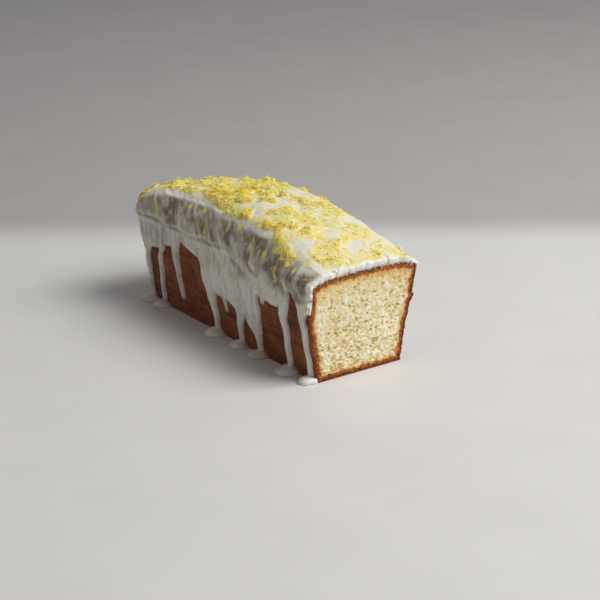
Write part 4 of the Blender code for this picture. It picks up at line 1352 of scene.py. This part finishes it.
def icing_look():
    """White glaze: dull where it is thin and where shade is painted on, whiter by the cut where light is
    painted on, with trails of zest oil, and yellow round the zest.
    """
    nodes = Nodes("lemon icing")
    thin_and_shade = nodes.value("thin_and_shade")
    zest = nodes.value("zest")
    gold = nodes.value("gold")
    mottle = nodes.noise(350.0, 3.0, 0.6)
    white = nodes.ramp(mottle, (0.35, (0.765, 0.745, 0.650)), (0.65, (0.84, 0.820, 0.73)))
    # Painted light on the lip by the cut, and the white lump at the front edge.
    white = nodes.mix(nodes.value("lip_light_and_white_lump"), white, (0.92, 0.905, 0.85))
    lilac = nodes.ramp(nodes.noise(300.0, 3.0, 0.6), (0.35, (0.192, 0.148, 0.114)),
                       (0.65, (0.325, 0.260, 0.214)))
    olive = nodes.ramp(nodes.noise(300.0, 3.0, 0.6), (0.35, (0.170, 0.146, 0.090)),
                       (0.65, (0.30, 0.262, 0.175)))
    grey = nodes.mix(nodes.spread(nodes.noise(90.0, 2.0, 0.5), 0.42, 0.58), lilac, olive)
    strokes = nodes.noise(330.0, 4.0, 0.65, stretch=(1.0, 1.0, 0.28), distortion=0.5)
    grain = nodes.wobble(strokes, 1.05)
    rough_thin_and_shade = nodes.math("ADD", thin_and_shade, nodes.times(grain, nodes.spread(thin_and_shade, 0.02, 0.30)))
    # The glaze turns grey where it is thin and where shade is painted on.
    color = nodes.mix(rough_thin_and_shade, white, grey)
    threads = nodes.noise(300.0, 1.0, 0.5, stretch=(1.0, 1.0, 0.15))
    broken = nodes.noise(80.0, 2.0, 0.5)
    trails = nodes.times(nodes.spread(threads, 0.585, 0.65), nodes.spread(broken, 0.45, 0.53))
    trails = nodes.times(trails, nodes.value("oily"))
    color = nodes.mix(nodes.times(trails, 0.70), color, (0.56, 0.49, 0.11))
    wash = nodes.mix(gold, (0.85, 0.79, 0.40), (0.93, 0.74, 0.17))
    speckle = nodes.spread(nodes.noise(260.0, 4.0, 0.75), 0.34, 0.54, 0.1, 1.0)
    stained = nodes.times(nodes.spread(zest, 0.02, 0.36), speckle)
    color = nodes.mix(stained, color, wash)
    crumbly = nodes.times(nodes.noise(900.0, 3.0, 0.6), nodes.value("lip_light_and_white_lump"))
    nodes.bump(crumbly, 0.0009, 0.9)
    nodes.bump(nodes.noise(260.0, 3.0, 0.55), 0.00035, 0.6)
    soften(nodes, 0.30, (1.0, 0.85, 0.6), 0.0014)
    return nodes.finish(color, nodes.spread(mottle, 0.3, 0.7, 0.50, 0.36), Specular_IOR_Level=0.40)


def zest_look():
    nodes = Nodes("lemon zest")
    tint = nodes.value("tint")
    gold = nodes.value("gold")
    plain = nodes.ramp(tint, (0.0, (0.82, 0.72, 0.12)), (0.30, (0.87, 0.81, 0.22)),
                       (0.65, (0.90, 0.85, 0.33)), (1.0, (0.92, 0.90, 0.56)))
    golden = nodes.ramp(tint, (0.0, (0.94, 0.64, 0.04)), (0.35, (0.98, 0.77, 0.08)),
                        (0.75, (0.98, 0.84, 0.14)), (1.0, (0.98, 0.91, 0.34)))
    color = nodes.mix(gold, plain, golden)
    color = nodes.mix(nodes.times(nodes.value("soaked"), 0.80), color, (0.52, 0.42, 0.07))
    nodes.bump(nodes.noise(2500.0, 2.0, 0.5), 0.00006, 0.6)
    return nodes.finish(color, Roughness=0.5, Specular_IOR_Level=0.4)


# ---------------------------------------------------------------- floor, lights and camera
CAMERA_AT = (0.9983, -0.6746, 0.4541)
CAMERA_AZIMUTH, CAMERA_PITCH, CAMERA_ROLL = 54.58, 19.83, -0.48
LENS, SENSOR_WIDTH = 96.0, 36.0
SOFTBOX_AT, LIT_POINT = (1.13, 1.04, 1.90), (0.0, 0.0, 0.05)
SOFTBOX_SIZE, SOFTBOX_POWER = 1.5, 56.5
ROOM_LIGHT = 0.22
FLOOR_SIZE = 14.0
# The floor's pale part ends, and its grey part begins, this far behind the cake.
PALE_TO, GREY_FROM = 0.205, 0.300


def floor_look():
    """A pale studio floor that turns grey behind the cake."""
    nodes = Nodes("pale floor")
    grain = nodes.noise(14.0, 3.0, 0.5)
    pale = nodes.ramp(grain, (0.3, (0.70, 0.695, 0.685)), (0.7, (0.73, 0.725, 0.715)))
    grey = nodes.ramp(grain, (0.3, (0.445, 0.435, 0.430)), (0.7, (0.465, 0.455, 0.450)))
    split = nodes.tree.nodes.new("ShaderNodeSeparateXYZ")
    nodes.link(nodes.where(), split.inputs["Vector"])
    color = nodes.mix(nodes.spread(split.outputs["Y"], PALE_TO, GREY_FROM), pale, grey)
    return nodes.finish(color, Roughness=0.55, Specular_IOR_Level=0.25)


def add_floor():
    bpy.ops.mesh.primitive_plane_add(size=FLOOR_SIZE, location=(0.0, 0.0, -0.0001))
    floor = bpy.context.object
    floor.name = "floor"
    floor.rotation_euler.z = math.radians(CAMERA_AZIMUTH)
    floor.data.materials.append(floor_look())


def add_lights():
    """One big softbox, high up past the cut and the back, and a dim even light from all round."""
    light = bpy.data.lights.new("key", "AREA")
    light.shape = "RECTANGLE"
    light.size, light.size_y = SOFTBOX_SIZE, SOFTBOX_SIZE
    light.energy = SOFTBOX_POWER
    light.color = (1.0, 0.985, 0.96)
    lamp = bpy.data.objects.new("key", light)
    lamp.location = SOFTBOX_AT
    bpy.context.scene.collection.objects.link(lamp)
    way = Vector(LIT_POINT) - lamp.location
    lamp.rotation_euler = way.to_track_quat("-Z", "Y").to_euler()
    world = bpy.data.worlds.new("studio")
    world.use_nodes = True
    glow = world.node_tree.nodes["Background"]
    glow.inputs["Color"].default_value = (1.0, 0.975, 0.98, 1.0)
    glow.inputs["Strength"].default_value = ROOM_LIGHT
    bpy.context.scene.world = world


def add_camera():
    lens = bpy.data.cameras.new("camera")
    lens.lens = LENS
    lens.sensor_width = SENSOR_WIDTH
    camera = bpy.data.objects.new("camera", lens)
    camera.location = CAMERA_AT
    level = Euler((math.radians(90.0 - CAMERA_PITCH), 0.0, math.radians(CAMERA_AZIMUTH)))
    roll = Euler((0.0, 0.0, math.radians(CAMERA_ROLL)))
    camera.rotation_euler = (level.to_matrix() @ roll.to_matrix()).to_euler()
    bpy.context.scene.collection.objects.link(camera)
    bpy.context.scene.camera = camera


def main():
    icing = icing_skin()
    glaze = icing_piece(icing, icing_look())
    loaf = new_piece("cake_sponge", sponge_mesh(), crust_look(), crumb_look())
    zest = zest_look()
    shreds = zest_shreds(icing, zest)
    flecks = zest_flecks(icing, zest)
    for piece, node, slot in ((loaf, "sponge", "sponge"), (glaze, "icing", "icing")):
        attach(piece, "root")
        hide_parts(node)
    for piece in (shreds, flecks):
        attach(piece, "root")
    add_floor()
    add_lights()
    add_camera()
    bpy.context.scene.view_settings.view_transform = "Standard"


main()
